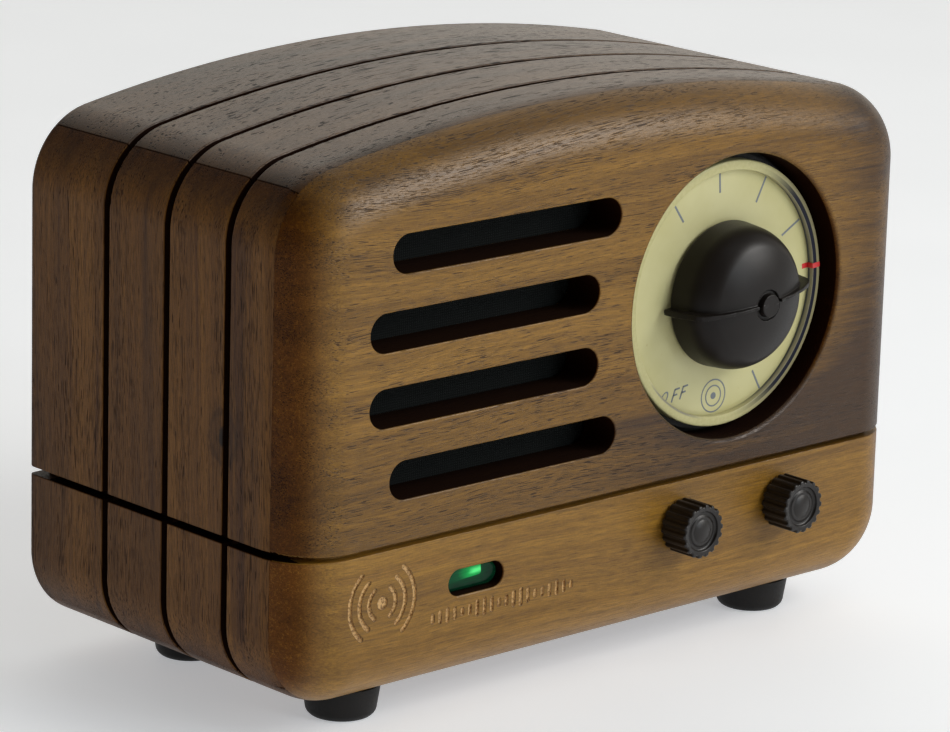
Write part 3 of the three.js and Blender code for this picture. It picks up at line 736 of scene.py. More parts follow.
def walnut(name, grain, dark, mid, light, seed, tone=None, rough=0.42, spec=0.4, streaks=0.5, endk=(0.42, 0.33, 0.2, 1), extra=None, pores=0.85, pk=1.0, pt=0.0, bandk=0.85, pmask=None):
    """Oiled walnut. grain is the axis that the fibres run along."""
    m = Mat(name)
    x, y, z = m.x, m.y, m.z
    if grain == "X":
        al, a1, a2 = x, z, y
    elif grain == "Z":
        al, a1, a2 = z, y, x
    else:
        al, a1, a2 = y, x, z
    al = m.add(al, seed * 37.1)
    a1 = m.add(a1, seed * 11.3)
    a2 = m.add(a2, seed * 5.7)
    # slow waves in the course of the fibres
    w1 = m.noise(m.vec(m.mul(al, 0.007), m.mul(a1, 0.02), m.mul(a2, 0.02)), 1.0, 2.0, 0.5)
    w2 = m.noise(m.vec(m.mul(al, 0.045), m.mul(a1, 0.08), m.mul(a2, 0.08)), 1.0, 1.0, 0.5)
    a1w = m.add(a1, m.add(m.mul(m.sub(w1, 0.5), 14.0), m.mul(m.sub(w2, 0.5), 1.3)))
    a2w = m.add(a2, m.mul(m.sub(w1, 0.5), 6.0))
    big = m.noise(m.vec(m.mul(al, 0.004), m.mul(a1w, 0.06), m.mul(a2w, 0.05)), 1.0, 2.0, 0.5)
    band = m.noise(m.vec(m.mul(al, 0.007), m.mul(a1w, 0.26), m.mul(a2w, 0.2)), 1.0, 5.0, 0.65)
    fine = m.noise(m.vec(m.mul(al, 0.03), m.mul(a1w, 1.6), m.mul(a2w, 1.4)), 1.0, 4.0, 0.65)
    fib = m.noise(m.vec(m.mul(al, 0.30), m.mul(a1w, 6.0), m.mul(a2w, 5.5)), 1.0, 3.0, 0.7)
    speck = m.noise(m.vec(m.mul(x, 3.4), m.mul(y, 3.4), m.mul(z, 3.4)), 1.0, 2.0, 0.7)
    # open pores: short thin dark dashes, closer together in some growth bands
    zone = m.smooth(m.noise(m.vec(m.mul(al, 0.012), m.mul(a1w, 0.30), m.mul(a2w, 0.3)), 1.0, 1.0, 0.5), 0.36, 0.68)
    pn = m.noise(m.vec(m.mul(al, 0.40 * (0.5 + 0.5 * pk)), m.mul(a1w, 7.6 * pk), m.mul(a2w, 6.0 * pk)), 1.0, 0.0, 0.5)
    pn2 = m.noise(m.vec(m.mul(al, 0.62), m.mul(a1w, 12.0), m.mul(a2w, 9.0)), 1.0, 0.0, 0.5)
    pore = m.smooth(m.add(pn, m.mul(zone, 0.10)), 0.70 + pt, 0.78 + pt)
    pore2 = m.mul(m.smooth(m.add(pn2, m.mul(zone, 0.07)), 0.69 + pt, 0.80 + pt), 0.65)
    pore = m.math("MAXIMUM", pore, pore2)
    if pmask is not None:
        pore = m.mul(pore, pmask(m))
    v = m.add(m.mul(big, 0.5), m.mul(band, bandk))
    v = m.add(v, m.mul(fine, 0.4))
    v = m.sub(v, 0.375 + (bandk - 0.85) * 0.5)
    if tone is not None:
        v = m.add(v, tone(m, a1w))
    col = m.ramp(v, [(0.18, dark), (0.5, mid), (0.82, light)])
    st = m.noise(m.vec(m.mul(al, 0.005), m.mul(a1w, 0.42), m.mul(a2w, 0.35)), 1.0, 3.0, 0.6)
    col = m.mix(m.smooth(st, 0.57, 0.70, 0.0, streaks), col, m.mix(1.0, col, (0.48, 0.40, 0.45, 1), "MULTIPLY"))
    col = m.mix(m.smooth(fib, 0.38, 0.78, 0.0, 0.55), col, m.mix(1.0, col, (0.44, 0.38, 0.32, 1), "MULTIPLY"))
    col = m.mix(m.smooth(fib, 0.60, 0.30, 0.0, 0.30), col, m.mix(1.0, col, (1.7, 1.62, 1.5, 1), "MULTIPLY"))
    col = m.mix(m.smooth(speck, 0.30, 0.75, 0.0, 0.30), col, m.mix(1.0, col, (0.5, 0.46, 0.4, 1), "MULTIPLY"))
    col = m.mix(m.mul(pore, pores), col, m.mix(1.0, col, (0.16, 0.12, 0.10, 1), "MULTIPLY"))
    nx, ny, nz = m.normal_axis()
    na = {"X": nx, "Y": ny, "Z": nz}[grain]
    end = m.smooth(m.math("ABSOLUTE", na), 0.25, 0.85)
    dots = m.noise(m.vec(m.mul(m.x, 2.6), m.mul(m.y, 2.6), m.mul(m.z, 2.6)), 1.0, 3.0, 0.75)
    endcol = m.mix(1.0, col, endk, "MULTIPLY")
    endcol = m.mix(m.smooth(dots, 0.5, 0.72, 0, 0.55), endcol, m.mix(1.0, col, (1.0, 0.85, 0.6, 1), "MULTIPLY"))
    col = m.mix(end, col, endcol)
    if extra is not None:
        col = extra(m, col)
    inset, carve = m.attr("inset"), m.attr("carve")
    # near black where the wood lies more than about 0.1 to 0.26 mm below the outer surface inside the cuts, slots and
    # holes, rougher and with little specular there
    depth_dark = m.smooth(inset, 0.09, 0.26)
    col = m.mix(m.mul(depth_dark, 0.985), col, (0.011, 0.0028, 0.0006, 1))
    cn = m.noise(m.vec(m.mul(m.x, 3.0), m.mul(m.y, 3.0), m.mul(m.z, 3.0)), 1.0, 2.0, 0.6)
    ccol = m.ramp(cn, [(0.34, lin(128, 90, 50)), (0.56, lin(220, 178, 118))])
    rim = m.mul(m.smooth(carve, 0.02, 0.2), m.smooth(carve, 0.7, 0.4))
    col = m.mix(m.smooth(carve, 0.3, 0.75, 0.0, 0.92), col, ccol)
    col = m.mix(m.mul(rim, 0.75), col, lin(58, 34, 16))
    hgt = m.sub(m.mul(fib, 0.5), m.mul(pore, 1.0))
    hgt = m.add(hgt, m.mul(speck, 0.35))
    n1 = m.bump(hgt, 0.42, 0.00012)
    r = m.add(m.mul(fib, 0.2), rough - 0.1)
    r = m.add(r, m.mul(pore, 0.25))
    r = m.add(r, m.mul(depth_dark, 0.4))
    r = m.math("MINIMUM", r, 0.95)
    m.set(Base_Color=col, Roughness=r, Normal=n1)
    sp = m.mul(m.smooth(depth_dark, 0.2, 1.0, spec, 0.05), m.smooth(end, 0.3, 1.0, 1.0, 0.35))
    m.put(m.bsdf.inputs["Specular IOR Level"], sp)
    return m.mat


def knot(m, col):
    """Small knot beside the first saw cut."""
    dy, dz = m.sub(m.y, 15.7 + Y0), m.sub(m.z, 35.4 + Z0)
    r = m.math("POWER", m.add(m.mul(dy, dy), m.mul(m.mul(dz, dz), 0.55)), 0.5)
    wob = m.noise(m.vec(m.mul(m.x, 0.9), m.mul(m.y, 0.9), m.mul(m.z, 0.9)), 1.0, 2.0, 0.5)
    r = m.add(r, m.mul(m.sub(wob, 0.5), 1.2))
    col = m.mix(m.smooth(r, 4.4, 1.2, 0.0, 0.6), col, m.mix(1.0, col, (0.45, 0.42, 0.42, 1), "MULTIPLY"))
    ring = m.smooth(m.math("ABSOLUTE", m.sub(r, 2.6)), 0.5, 0.1, 0.0, 0.45)
    col = m.mix(ring, col, m.mix(1.0, col, (0.4, 0.35, 0.35, 1), "MULTIPLY"))
    return m.mix(m.smooth(r, 1.1, 0.5, 0.0, 0.9), col, lin(20, 12, 8))


def front_tone(m, a1w):
    """Where the front board is darker or lighter: golden at the base and the upper left, brown
    streaks low on the right above the level cut and down the right edge."""
    t = m.smooth(m.z, 27.2, 25.4, 0.0, 0.13)
    low = m.mul(m.smooth(m.z, 46.0, 32.0), m.smooth(m.z, 25.4, 26.4))
    right = m.smooth(m.x, -20.0, 30.0, 0.25, 1.0)
    t = m.sub(t, m.mul(m.mul(low, right), 0.34))
    up = m.mul(m.smooth(m.z, 25.4, 26.4), m.smooth(m.x, 36.0, 50.0))
    t = m.sub(t, m.mul(up, 0.26))
    return m.add(t, 0.03)


def plastic(name, colour, rough, bump=0.1, grain=8.0, spec=0.5, vary=0.15, coat=0.0):
    m = Mat(name)
    n = m.noise(m.pos, grain, 3.0, 0.6)
    big = m.noise(m.pos, 0.15, 2.0, 0.5)
    c = m.mix(m.smooth(big, 0.3, 0.7, 0, vary), colour, tuple(min(1, v * 1.6 + 0.01) for v in colour[:3]) + (1,))
    m.set(Base_Color=c, Roughness=m.smooth(n, 0.3, 0.7, rough - 0.05, rough + 0.07), Normal=m.bump(n, bump, 0.00004))
    m.bsdf.inputs["Specular IOR Level"].default_value = spec
    if coat:
        m.bsdf.inputs["Coat Weight"].default_value = coat
        m.bsdf.inputs["Coat Roughness"].default_value = 0.15
    return m.mat


def metal(name, colour, rough, brushed=True):
    m = Mat(name)
    n = m.noise(m.vec(m.mul(m.x, 1.0), m.mul(m.y, 9.0 if brushed else 1.0), m.mul(m.z, 9.0 if brushed else 1.0)), 1.2, 4.0, 0.65)
    m.set(Base_Color=m.mix(m.smooth(n, 0.3, 0.7, 0, 0.3), colour, tuple(v * 0.75 for v in colour[:3]) + (1,)),
          Roughness=m.smooth(n, 0.3, 0.7, rough - 0.06, rough + 0.08), Normal=m.bump(n, 0.12, 0.00003))
    m.bsdf.inputs["Metallic"].default_value = 1.0
    return m.mat


def woven(name, colour, pitch, rough=0.95, strength=0.6):
    m = Mat(name)
    k = math.pi / pitch
    sx = m.math("SINE", m.mul(m.x, k))
    sz = m.math("SINE", m.mul(m.z, k))
    w = m.math("MULTIPLY", sx, sz)
    fuzz = m.noise(m.pos, 5.0, 3.0, 0.7)
    hgt = m.add(m.math("ABSOLUTE", w), m.mul(fuzz, 0.5))
    c = m.mix(m.smooth(hgt, 0.2, 1.1), tuple(v * 0.45 for v in colour[:3]) + (1,), colour)
    m.set(Base_Color=c, Roughness=rough, Normal=m.bump(hgt, strength, 0.00015))
    m.bsdf.inputs["Specular IOR Level"].default_value = 0.2
    return m.mat


M_FRONT = walnut("walnut_front", "X", lin(64, 40, 12), lin(124, 88, 26), lin(166, 123, 46), 1.0, front_tone, 0.40, 0.32, 0.3, (0.42, 0.27, 0.13, 1), bandk=0.6,
                 pmask=lambda m: m.mul(m.smooth(m.z, 25.5, 29.0, 0.35, 1.0), m.smooth(m.x, 50.0, 5.0, 0.55, 1.0)))
M_LEFT = walnut("walnut_left", "Z", lin(60, 34, 9), lin(102, 65, 20), lin(132, 89, 31), 2.3, None, 0.48, 0.2, 0.85, extra=knot, pores=0.85)
M_RIGHT = walnut("walnut_right", "Z", lin(60, 34, 9), lin(102, 65, 20), lin(132, 89, 31), 4.1, None, 0.48, 0.2, 0.85, pores=0.85)
M_TOP = walnut("walnut_top", "X", lin(54, 36, 18), lin(86, 58, 29), lin(112, 80, 42), 6.7, None, 0.40, 0.38, 0.4, pores=0.95, pk=0.55, pt=0.015)
M_BOTTOM = walnut("walnut_bottom", "X", lin(54, 36, 18), lin(98, 66, 32), lin(130, 92, 48), 8.9, None, 0.46, 0.3, 0.5)
M_REAR = walnut("walnut_rear", "X", lin(60, 40, 20), lin(110, 76, 38), lin(146, 104, 56), 12.2, None, 0.46, 0.3, 0.5)
M_KNOB = plastic("knob_bakelite", lin(22, 17, 14), 0.40, 0.16, 7.0, 0.22, 0.2)
M_SMALL = plastic("small_knob_bakelite", lin(25, 20, 17), 0.38, 0.16, 7.0, 0.36, 0.2)
M_RUBBER = plastic("foot_rubber", lin(15, 13, 12), 0.55, 0.35, 3.0, 0.24, 0.3)
M_BLACK = plastic("black_plastic", lin(26, 25, 24), 0.55, 0.2, 5.0)
M_SEAT = plastic("dial_seat_plastic", lin(16, 14, 13), 0.6, 0.2, 5.0)
M_CLOTH = woven("grille_cloth", lin(30, 33, 32), 0.34)
M_STEEL = metal("zinc_steel", lin(186, 184, 178), 0.34)
M_CAN = metal("control_can", lin(168, 166, 158), 0.4)
M_TIN = metal("shield_tin", lin(196, 195, 190), 0.28)
M_BASKET = plastic("basket_paint", lin(34, 34, 36), 0.45, 0.15, 3.0)
M_MAGNET = plastic("ferrite", lin(48, 47, 49), 0.62, 0.5, 2.0, 0.4, 0.35)
M_CONE = woven("cone_paper", lin(36, 35, 34), 0.5, 0.9, 0.35)
M_SURR = plastic("surround_rubber", lin(26, 26, 26), 0.6, 0.25, 4.0)
M_SPIDER = woven("spider_cloth", lin(176, 128, 66), 0.4, 0.9, 0.5)
M_COPPER = metal("copper_wire", lin(196, 118, 70), 0.32)
M_FIBRE = plastic("fibreboard", lin(88, 66, 46), 0.85, 0.6, 1.6, 0.3, 0.5)
M_PCB = plastic("circuit_board", lin(28, 92, 52), 0.38, 0.3, 0.9, 0.5, 0.4, 0.3)
M_NYLON = plastic("nylon", lin(222, 218, 204), 0.45, 0.1, 3.0)
M_BATT = plastic("battery_sleeve", lin(40, 92, 156), 0.35, 0.1, 1.0, 0.5, 0.2, 0.3)
M_RED = plastic("red_lead", lin(150, 30, 28), 0.45, 0.1, 4.0)
M_BLK = plastic("black_lead", lin(28, 28, 28), 0.45, 0.1, 4.0)


def dial_paint():
    m = Mat("dial_print")
    n = m.noise(m.pos, 0.12, 3.0, 0.55)
    s = m.noise(m.pos, 4.0, 2.0, 0.6)
    col = m.ramp(n, [(0.3, lin(196, 189, 134)), (0.7, lin(206, 200, 150))])
    spots = m.smooth(m.noise(m.pos, 1.1, 0.0, 0.5), 0.80, 0.86, 0.0, 0.35)
    col = m.mix(spots, col, lin(170, 150, 96))
    m.set(Base_Color=col, Roughness=m.smooth(s, 0.3, 0.7, 0.36, 0.46), Normal=m.bump(s, 0.05, 0.00003))
    m.bsdf.inputs["Specular IOR Level"].default_value = 0.35
    return m.mat


def lens_green():
    """Green moulded window of an unlit lamp: a painted reflection makes it bright at its upper left, its colour is also
    emitted as a painted glow, and it is dark towards the lower right.
    """
    m = Mat("green_lens")
    u = m.sub(m.x, LEDX)
    h = m.sub(m.z, LEDH + Z0)
    edge = m.add(m.mul(m.sub(u, -1.0), 0.06), -0.12)
    hh = m.sub(h, edge)
    corner = m.math("POWER", m.add(m.math("POWER", m.math("MAXIMUM", m.sub(u, 1.2), 0.0), 2.0),
                                   m.math("POWER", m.math("MAXIMUM", m.sub(0.75, hh), 0.0), 2.0)), 0.5)
    band = m.mul(m.smooth(hh, -0.04, 0.14), m.smooth(u, 1.92, 1.76))
    band = m.mul(band, m.smooth(corner, 0.92, 0.7))
    # painted reflection: a bright band across the upper part of the window, standing in for a softbox seen in the lens
    painted_reflection = m.mul(band, m.smooth(u, -3.4, 0.6, 0.12, 1.0))
    reflection_core = m.mul(m.mul(band, m.smooth(u, -1.0, 0.9)), m.smooth(m.math("ABSOLUTE", m.sub(hh, 0.75)), 0.6, 0.1))
    # painted glow, weak, over the lower left part of the window
    painted_glow = m.mul(m.smooth(h, -1.9, 0.6), m.smooth(u, 3.4, 1.0, 0.05, 0.17))
    n = m.noise(m.vec(m.mul(m.x, 0.5), m.mul(m.y, 0.5), m.mul(m.z, 3.0)), 1.0, 2.0, 0.5)
    g = m.add(m.add(m.mul(painted_reflection, 0.42), m.mul(reflection_core, 0.28)), m.add(painted_glow, m.mul(m.sub(n, 0.5), 0.16)))
    col = m.ramp(g, [(0.0, lin(3, 24, 14)), (0.3, lin(6, 66, 36)), (0.58, lin(20, 136, 64)), (0.85, lin(78, 208, 116))])
    # the colour is also emitted: a painted glow, since the lamp behind the window gives no light
    m.set(Base_Color=col, Emission_Color=col, Roughness=0.12)
    m.bsdf.inputs["Emission Strength"].default_value = 0.6
    m.bsdf.inputs["Specular IOR Level"].default_value = 0.1
    return m.mat


M_DIAL = dial_paint()


def ring_paint():
    """Clear rim over the dial: a navy line on its right and lower edge; there the inner wall carries painted shade,
    grey-blue and darker towards the dial face, and the outer band is a darker tan.
    """
    m = Mat("dial_ring_acrylic")
    px, pz = m.sub(m.x, DX), m.sub(m.z, DH + Z0)
    r = m.math("POWER", m.add(m.mul(px, px), m.mul(pz, pz)), 0.5)
    ang = m.mul(m.math("ARCTAN2", pz, px), 180 / math.pi)
    d = m.sub(m.y, Y0)
    on = m.mul(m.smooth(ang, -88.0, -52.0), m.smooth(ang, 76.0, 40.0))
    face = m.smooth(d, 2.62, 2.5)
    line = m.mul(m.mul(m.smooth(r, 17.34, 17.40), m.smooth(r, 18.08, 18.0)), face)
    rim = m.mul(m.smooth(r, 18.0, 18.08), face)
    wall = m.smooth(r, 17.40, 17.33)
    n = m.noise(m.pos, 2.0, 2.0, 0.5)
    cream = m.ramp(n, [(0.3, lin(192, 185, 132)), (0.7, lin(200, 193, 142))])
    c = m.mix(m.mul(on, rim), cream, lin(142, 134, 100))
    # painted shade on the inner wall: grey-blue where it meets the dial face, lighter towards its top edge
    painted_wall_shade = m.mix(m.smooth(d, 3.25, 2.75), lin(74, 78, 84), lin(150, 144, 122))
    c = m.mix(m.mul(on, wall), c, painted_wall_shade)
    c = m.mix(m.mul(on, line), c, lin(12, 14, 34))
    faint = m.mul(m.mul(m.smooth(ang, -146.0, -134.0), m.smooth(ang, -98.0, -116.0)), m.mul(m.smooth(r, 17.7, 17.5), 0.55))
    c = m.mix(faint, c, lin(84, 82, 110))
    m.set(Base_Color=c, Roughness=0.35, Normal=m.bump(n, 0.04, 0.00003))
    m.bsdf.inputs["Specular IOR Level"].default_value = 0.18
    return m.mat


M_RING = ring_paint()
M_INK = plastic("dial_ink", lin(112, 118, 124), 0.5, 0.05, 6.0, 0.4, 0.3)
M_REDMARK = plastic("dial_red_mark", lin(206, 36, 40), 0.35, 0.05, 4.0, 0.5, 0.1, 0.3)
M_LENS = lens_green()
M_LAMP = plastic("lamp_resin", lin(160, 230, 170), 0.2, 0.03, 2.0, 0.6, 0.1, 0.5)

# ---------------------------------------------------------------- the case
fine = 0.42
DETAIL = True
c = 1.0 if DETAIL else 1.6
ob = shaped("front_board_wood", front_board,
            spans((-57.0, -48.6, 0.42 * c), (-48.6, -35.4, 0.17 * c), (-35.4, -34.6, 0.3), (-34.6, -7.6, 0.19 * c), (-7.6, 57.0, 0.42 * c)),
            spans((-0.4, 0.5, 0.15), (0.5, 2.0, 0.25 * c), (2.0, 6.05, 0.45), (6.05, 6.6, 0.14)),
            spans((-0.4, 7.9, 0.42 * c), (7.9, 12.2, 0.17 * c), (12.2, 20.6, 0.19 * c), (20.6, 20.9, 0.16), (20.9, 22.1, 0.11), (22.1, 27.0, 0.42), (27.0, 63.4, 0.3 * c), (63.4, 76.4, 0.42 * c)), depth_dark=True,
            edges=[(blank, lambda u, d, h: d - T_FRONT, 0.25, 0.08)])
finish_piece(ob, "case", ["front_board"], M_FRONT)

DS = spans((6.1, 6.8, 0.14), (6.8, 14.3, 0.5 * c), (14.3, 16.1, 0.11), (16.1, 26.7, 0.5 * c), (26.7, 28.6, 0.11), (28.6, 39.3, 0.5 * c), (39.3, 41.2, 0.11),
           (41.2, 52.7, 0.5 * c), (52.7, 53.4, 0.2), (53.4, 57.3, 0.3))
SEAM_EDGE = (blank, lambda u, d, h: T_FRONT + 0.04 - d, 0.25, 0.08)
LM = (blank, lambda u, d, h: side_of(u, h, -1) + 0.008, 0.2, 0.16)
RM = (blank, lambda u, d, h: side_of(u, h, 1) + 0.008, 0.2, 0.16)
LM2 = (blank, lambda u, d, h: 0.008 - side_of(u, h, -1), 0.2, 0.16)
RM2 = (blank, lambda u, d, h: 0.008 - side_of(u, h, 1), 0.2, 0.16)
HS_ = spans((2.0, 20.8, 0.5 * c), (20.8, 22.6, 0.11), (22.6, 62.0, 0.55 * c), (62.0, 70.5, 0.35))
for sgn, name, fn, mat in ((-1, "left_side_board", left_board, M_LEFT), (1, "right_side_board", right_board, M_RIGHT)):
    us = spans((46.0, 47.2, 0.3), (47.2, 47.8, 0.2), (47.8, 54.2, 0.5), (54.2, 57.0, 0.28))
    us = us if sgn > 0 else -us[::-1]
    ob = shaped(name + "_wood", fn, us, DS, HS_, depth_dark=True, edges=[SEAM_EDGE, LM if sgn < 0 else RM])
    finish_piece(ob, "case", [name], mat)
US = spans((-54.0, -44.0, 0.35), (-44.0, 44.0, 0.75 * c), (44.0, 54.0, 0.35))
ob = shaped("top_board_wood", top_board, US, DS, spans((60.5, 68.0, 0.42), (68.0, 76.4, 0.36)), depth_dark=True, edges=[SEAM_EDGE, LM2, RM2])
finish_piece(ob, "case", ["top_board"], M_TOP)
ob = shaped("bottom_board_wood", bottom_board,
            spans((-54.5, -42.0, 0.4), (-42.0, -34.0, 0.3), (-34.0, 34.0, 1.0 * c), (34.0, 42.0, 0.3), (42.0, 54.5, 0.4)), DS,
            spans((-0.3, 3.0, 0.28), (3.0, 9.6, 0.45)), depth_dark=True, edges=[SEAM_EDGE, LM2, RM2])
finish_piece(ob, "case", ["bottom_board"], M_BOTTOM)
ob = shaped("rear_panel_wood", rear_panel, spans((-53.6, 53.6, 0.36 * c)), spans((52.8, 54.0, 0.3), (54.0, 56.9, 0.22)), spans((3.2, 73.0, 0.36 * c)))
finish_piece(ob, "case", ["rear_panel"], M_REAR)


def pin(profile, centre, axis, n=24):
    return turned("tmp_pin", profile, centre, axis, n)


def join_into(base, extra):
    """One mesh object from two, the second's mesh added to the first."""
    bm = bmesh.new()
    bm.from_mesh(base.data)
    bm.from_mesh(extra.data)
    bm.to_mesh(base.data)
    bm.free()
    bpy.data.objects.remove(extra)
    base.data.update()
    return base


for i, (x, z) in enumerate(PSCREWS):
    ob = shaped(f"rear_screw_head_{i + 1}", screw_head(x, 56.35, z, "d", 2.2, 1.5, False),
                spans((x - 2.4, x + 2.4, 0.12)), spans((54.6, 56.6, 0.12)), spans((z - 2.4, z + 2.4, 0.12)), flat=0.05)
    sh = soften(turned("tmp", rounded([(0, 46.0), (0.95, 46.9, 0.1), (0.95, 54.9, 0.05), (0, 54.9)], 0.1), (x, z), "d", 24))
    ob = join_into(ob, sh)
    finish_piece(ob, "case", [f"rear_panel_screw_{i + 1}"], M_STEEL)

# ---------------------------------------------------------------- the feet
FOOT = [(1.6, 2.3, 0.0), (2.5, 2.3, 0.1), (2.5, 0.0, 0.15), (4.1, 0.0, 0.35), (4.74, 0.62, 0.6), (5.33, 4.5, 0.12), (1.6, 4.5, 0.1), (1.6, 2.3, 0)]
for i, (x, y) in enumerate(FEET):
    prof = rounded([(r, t - Z0, q) for r, t, q in FOOT], 0.1, 5)[:-1]
    ob = soften(turned(f"rubber_foot_{i + 1}", prof, (x, y), "h", 72), 50)
    finish_piece(ob, "case", [f"foot_{i + 1}"], M_RUBBER)
    ob = shaped(f"foot_screw_head_{i + 1}", screw_head(x, y, 0.9 - Z0, "h", 2.15, 1.3, True),
                spans((x - 2.4, x + 2.4, 0.13)), spans((y - 2.4, y + 2.4, 0.13)), spans((0.7 - Z0, 2.4 - Z0, 0.13)), flat=0.05)
    sh = soften(turned("tmp", rounded([(0, 2.1 - Z0), (1.25, 2.1 - Z0, 0.05), (1.25, 10.2 - Z0, 0.1), (0, 11.1 - Z0)], 0.1), (x, y), "h", 24))
    ob = join_into(ob, sh)
    finish_piece(ob, "case", [f"foot_screw_{i + 1}"], M_STEEL)

# ------------------------------------------------------------------- knobs
k = 0.22 * c
ob = shaped("tuning_knob_moulding", tuning_knob, spans((DX - 12.7, DX + 12.7, k)), spans((-6.7, -4.2, k * 0.7), (-4.2, 3.5, k)),
            spans((DH - 10.8, DH - 2.0, k), (DH - 2.0, DH + 2.3, 0.11), (DH + 2.3, DH + 10.8, k)), flat=0)
finish_piece(ob, "tuning", ["tuning_knob"], M_KNOB)
for j, nm in enumerate(("tone", "volume")):
    cu, ch = SMALL[j]
    ob = shaped(nm + "_knob_moulding", small_knob(j), spans((cu - 4.1, cu + 4.1, 0.1 * c)), spans((-5.3, -3.9, 0.08 * c), (-3.9, -2.9, 0.12), (-2.9, 0.0, 0.2)),
                spans((ch - 4.1, ch + 4.1, 0.1 * c)), flat=0)
    finish_piece(ob, nm, [nm + "_knob"], M_SMALL)

# -------------------------------------------------------------------- dial
ob = soften(turned("dial_face", rounded([(3.7, 3.4, 0), (18.7, 3.4, 0.1), (18.7, 4.4, 0.1), (3.7, 4.4, 0)], 0.1, 3), (DX, DH), "d", 128))
finish_piece(ob, "case", ["dial_plate"], M_DIAL)
prof = [(17.3, 3.35), (17.3, 2.5), (17.34, 2.43), (17.42, 2.4), (17.65, 2.4), (18.1, 2.4), (18.4, 2.4), (18.58, 2.44), (18.67, 2.53), (18.7, 2.65), (18.7, 3.35)]
ob = soften(turned("dial_rim", prof, (DX, DH), "d", 160), 60)
ob.data.materials.append(M_RING)
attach(ob, "case")
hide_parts("dial_ring")


def bar(cu, ch, ang, r0, r1, wid, d0, d1, bend=0.0):
    """Printed stroke on the dial from r0 to r1 at an angle, as a thin closed strip."""
    ca, sa = math.cos(ang), math.sin(ang)
    pts, n = [], 6
    for sd in (-1, 1):
        for q in range(n + 1):
            t = q / n if sd < 0 else 1 - q / n
            r = r0 + (r1 - r0) * t
            o = sd * wid / 2
            pts.append((cu + r * ca - o * sa, ch + r * sa + o * ca))
    return prism(pts, d0, d1)


def prism(pts, d0, d1):
    a = sum(pts[i][0] * pts[(i + 1) % len(pts)][1] - pts[(i + 1) % len(pts)][0] * pts[i][1] for i in range(len(pts)))
    if a < 0:
        pts = pts[::-1]
    n = len(pts)
    V = [(x, d0, z) for x, z in pts] + [(x, d1, z) for x, z in pts]
    F = [tuple(range(n)), tuple(range(2 * n - 1, n - 1, -1))]
    F += [(i, i + n, (i + 1) % n + n, (i + 1) % n) for i in range(n)]
    return V, F


def band(cu, ch, r0, r1, a0, a1, d0, d1, n=24):
    """Printed arc."""
    pts = [(cu + r1 * math.cos(a0 + (a1 - a0) * i / n), ch + r1 * math.sin(a0 + (a1 - a0) * i / n)) for i in range(n + 1)]
    pts += [(cu + r0 * math.cos(a1 + (a0 - a1) * i / n), ch + r0 * math.sin(a1 + (a0 - a1) * i / n)) for i in range(n + 1)]
    return prism(pts, d0, d1)


def stack(shapes):
    V, F = [], []
    for v, f in shapes:
        b = len(V)
        V += v
        F += [tuple(i + b for i in q) for q in f]
    return np.array(V, float), F


INK0, INK1 = 3.37, 3.41
marks = []
for deg, r0, r1 in ((125.7, 13.5, 17.25), (94, 14.2, 17.25), (62.5, 13.4, 17.25), (29, 13.3, 17.2), (-60.5, 14.0, 17.25)):
    marks.append(bar(DX, DH, math.radians(deg), r0, r1, 0.30, INK0, INK1))
# small printed ornament: two rings and a dot
ox, oz = DX - 0.7, DH - 14.6
for r in (2.2, 1.35):
    for q in range(2):
        marks.append(band(ox, oz, r, r + 0.2, q * math.pi, (q + 1) * math.pi, INK0, INK1))
marks.append(band(ox, oz, 0.0001, 0.5, 0, 2 * math.pi * 0.999, INK0, INK1, 16))


def letter(strokes, cx, cz, size, rot):
    out = []
    for (x0, z0), (x1, z1) in strokes:
        ax, az = x0 * size, z0 * size
        bx, bz = x1 * size, z1 * size
        ca, sa = math.cos(rot), math.sin(rot)
        p = (cx + ax * ca - az * sa, cz + ax * sa + az * ca)
        q = (cx + bx * ca - bz * sa, cz + bx * sa + bz * ca)
        L = math.hypot(q[0] - p[0], q[1] - p[1])
        ang = math.atan2(q[1] - p[1], q[0] - p[0])
        out.append(bar(p[0], p[1], ang, -0.1, L + 0.1, 0.24, INK0, INK1))
    return out


def stem(x0, z0, x1, z1, wid=0.25):
    p = (DX + x0, DH + z0)
    L = math.hypot(x1 - x0, z1 - z0)
    return bar(p[0], p[1], math.atan2(z1 - z0, x1 - x0), -0.06, L + 0.06, wid, INK0, INK1)


for fx, fz in ((-8.85, -14.20), (-7.25, -14.02)):
    marks += [stem(fx, fz, fx + 0.62, fz + 1.66), stem(fx + 0.62, fz + 1.66, fx + 1.45, fz + 1.76), stem(fx + 0.33, fz + 0.86, fx + 1.02, fz + 0.95)]
n, O = 28, []
for sgn in (1.0, 0.68):
    ring = []
    for q in range(n):
        t = 2 * math.pi * q / n
        ox_, oz_ = 0.66 * sgn * math.cos(t), 0.86 * (1 - (1 - sgn) * 0.8) * math.sin(t)
        ring.append((-10.25 + ox_ + 0.38 * oz_, -13.40 + oz_ + 0.1 * ox_))
    O.append(ring)
for q in range(n):
    q2 = (q + 1) % n
    quad = [O[0][q], O[0][q2], O[1][q2], O[1][q]]
    if max(math.hypot(*w) for w in quad) < 17.27:
        marks.append(prism([(DX + w[0], DH + w[1]) for w in quad], INK0, INK1))
V, F = stack(marks)
ob = mesh_object("dial_marks", V, F, smooth=False)
finish_piece(ob, "case", [], M_INK)
V, F = stack([bar(DX, DH, math.radians(5), 16.1, 17.28, 0.72, INK0 - 0.01, INK1), bar(DX, DH, math.radians(5), 17.2, 17.32, 0.72, 2.38, INK0),
              bar(DX, DH, math.radians(5), 17.2, 18.62, 0.72, 2.375, 2.43)])
ob = mesh_object("dial_red_mark", V, F, smooth=False)
finish_piece(ob, "case", [], M_REDMARK)

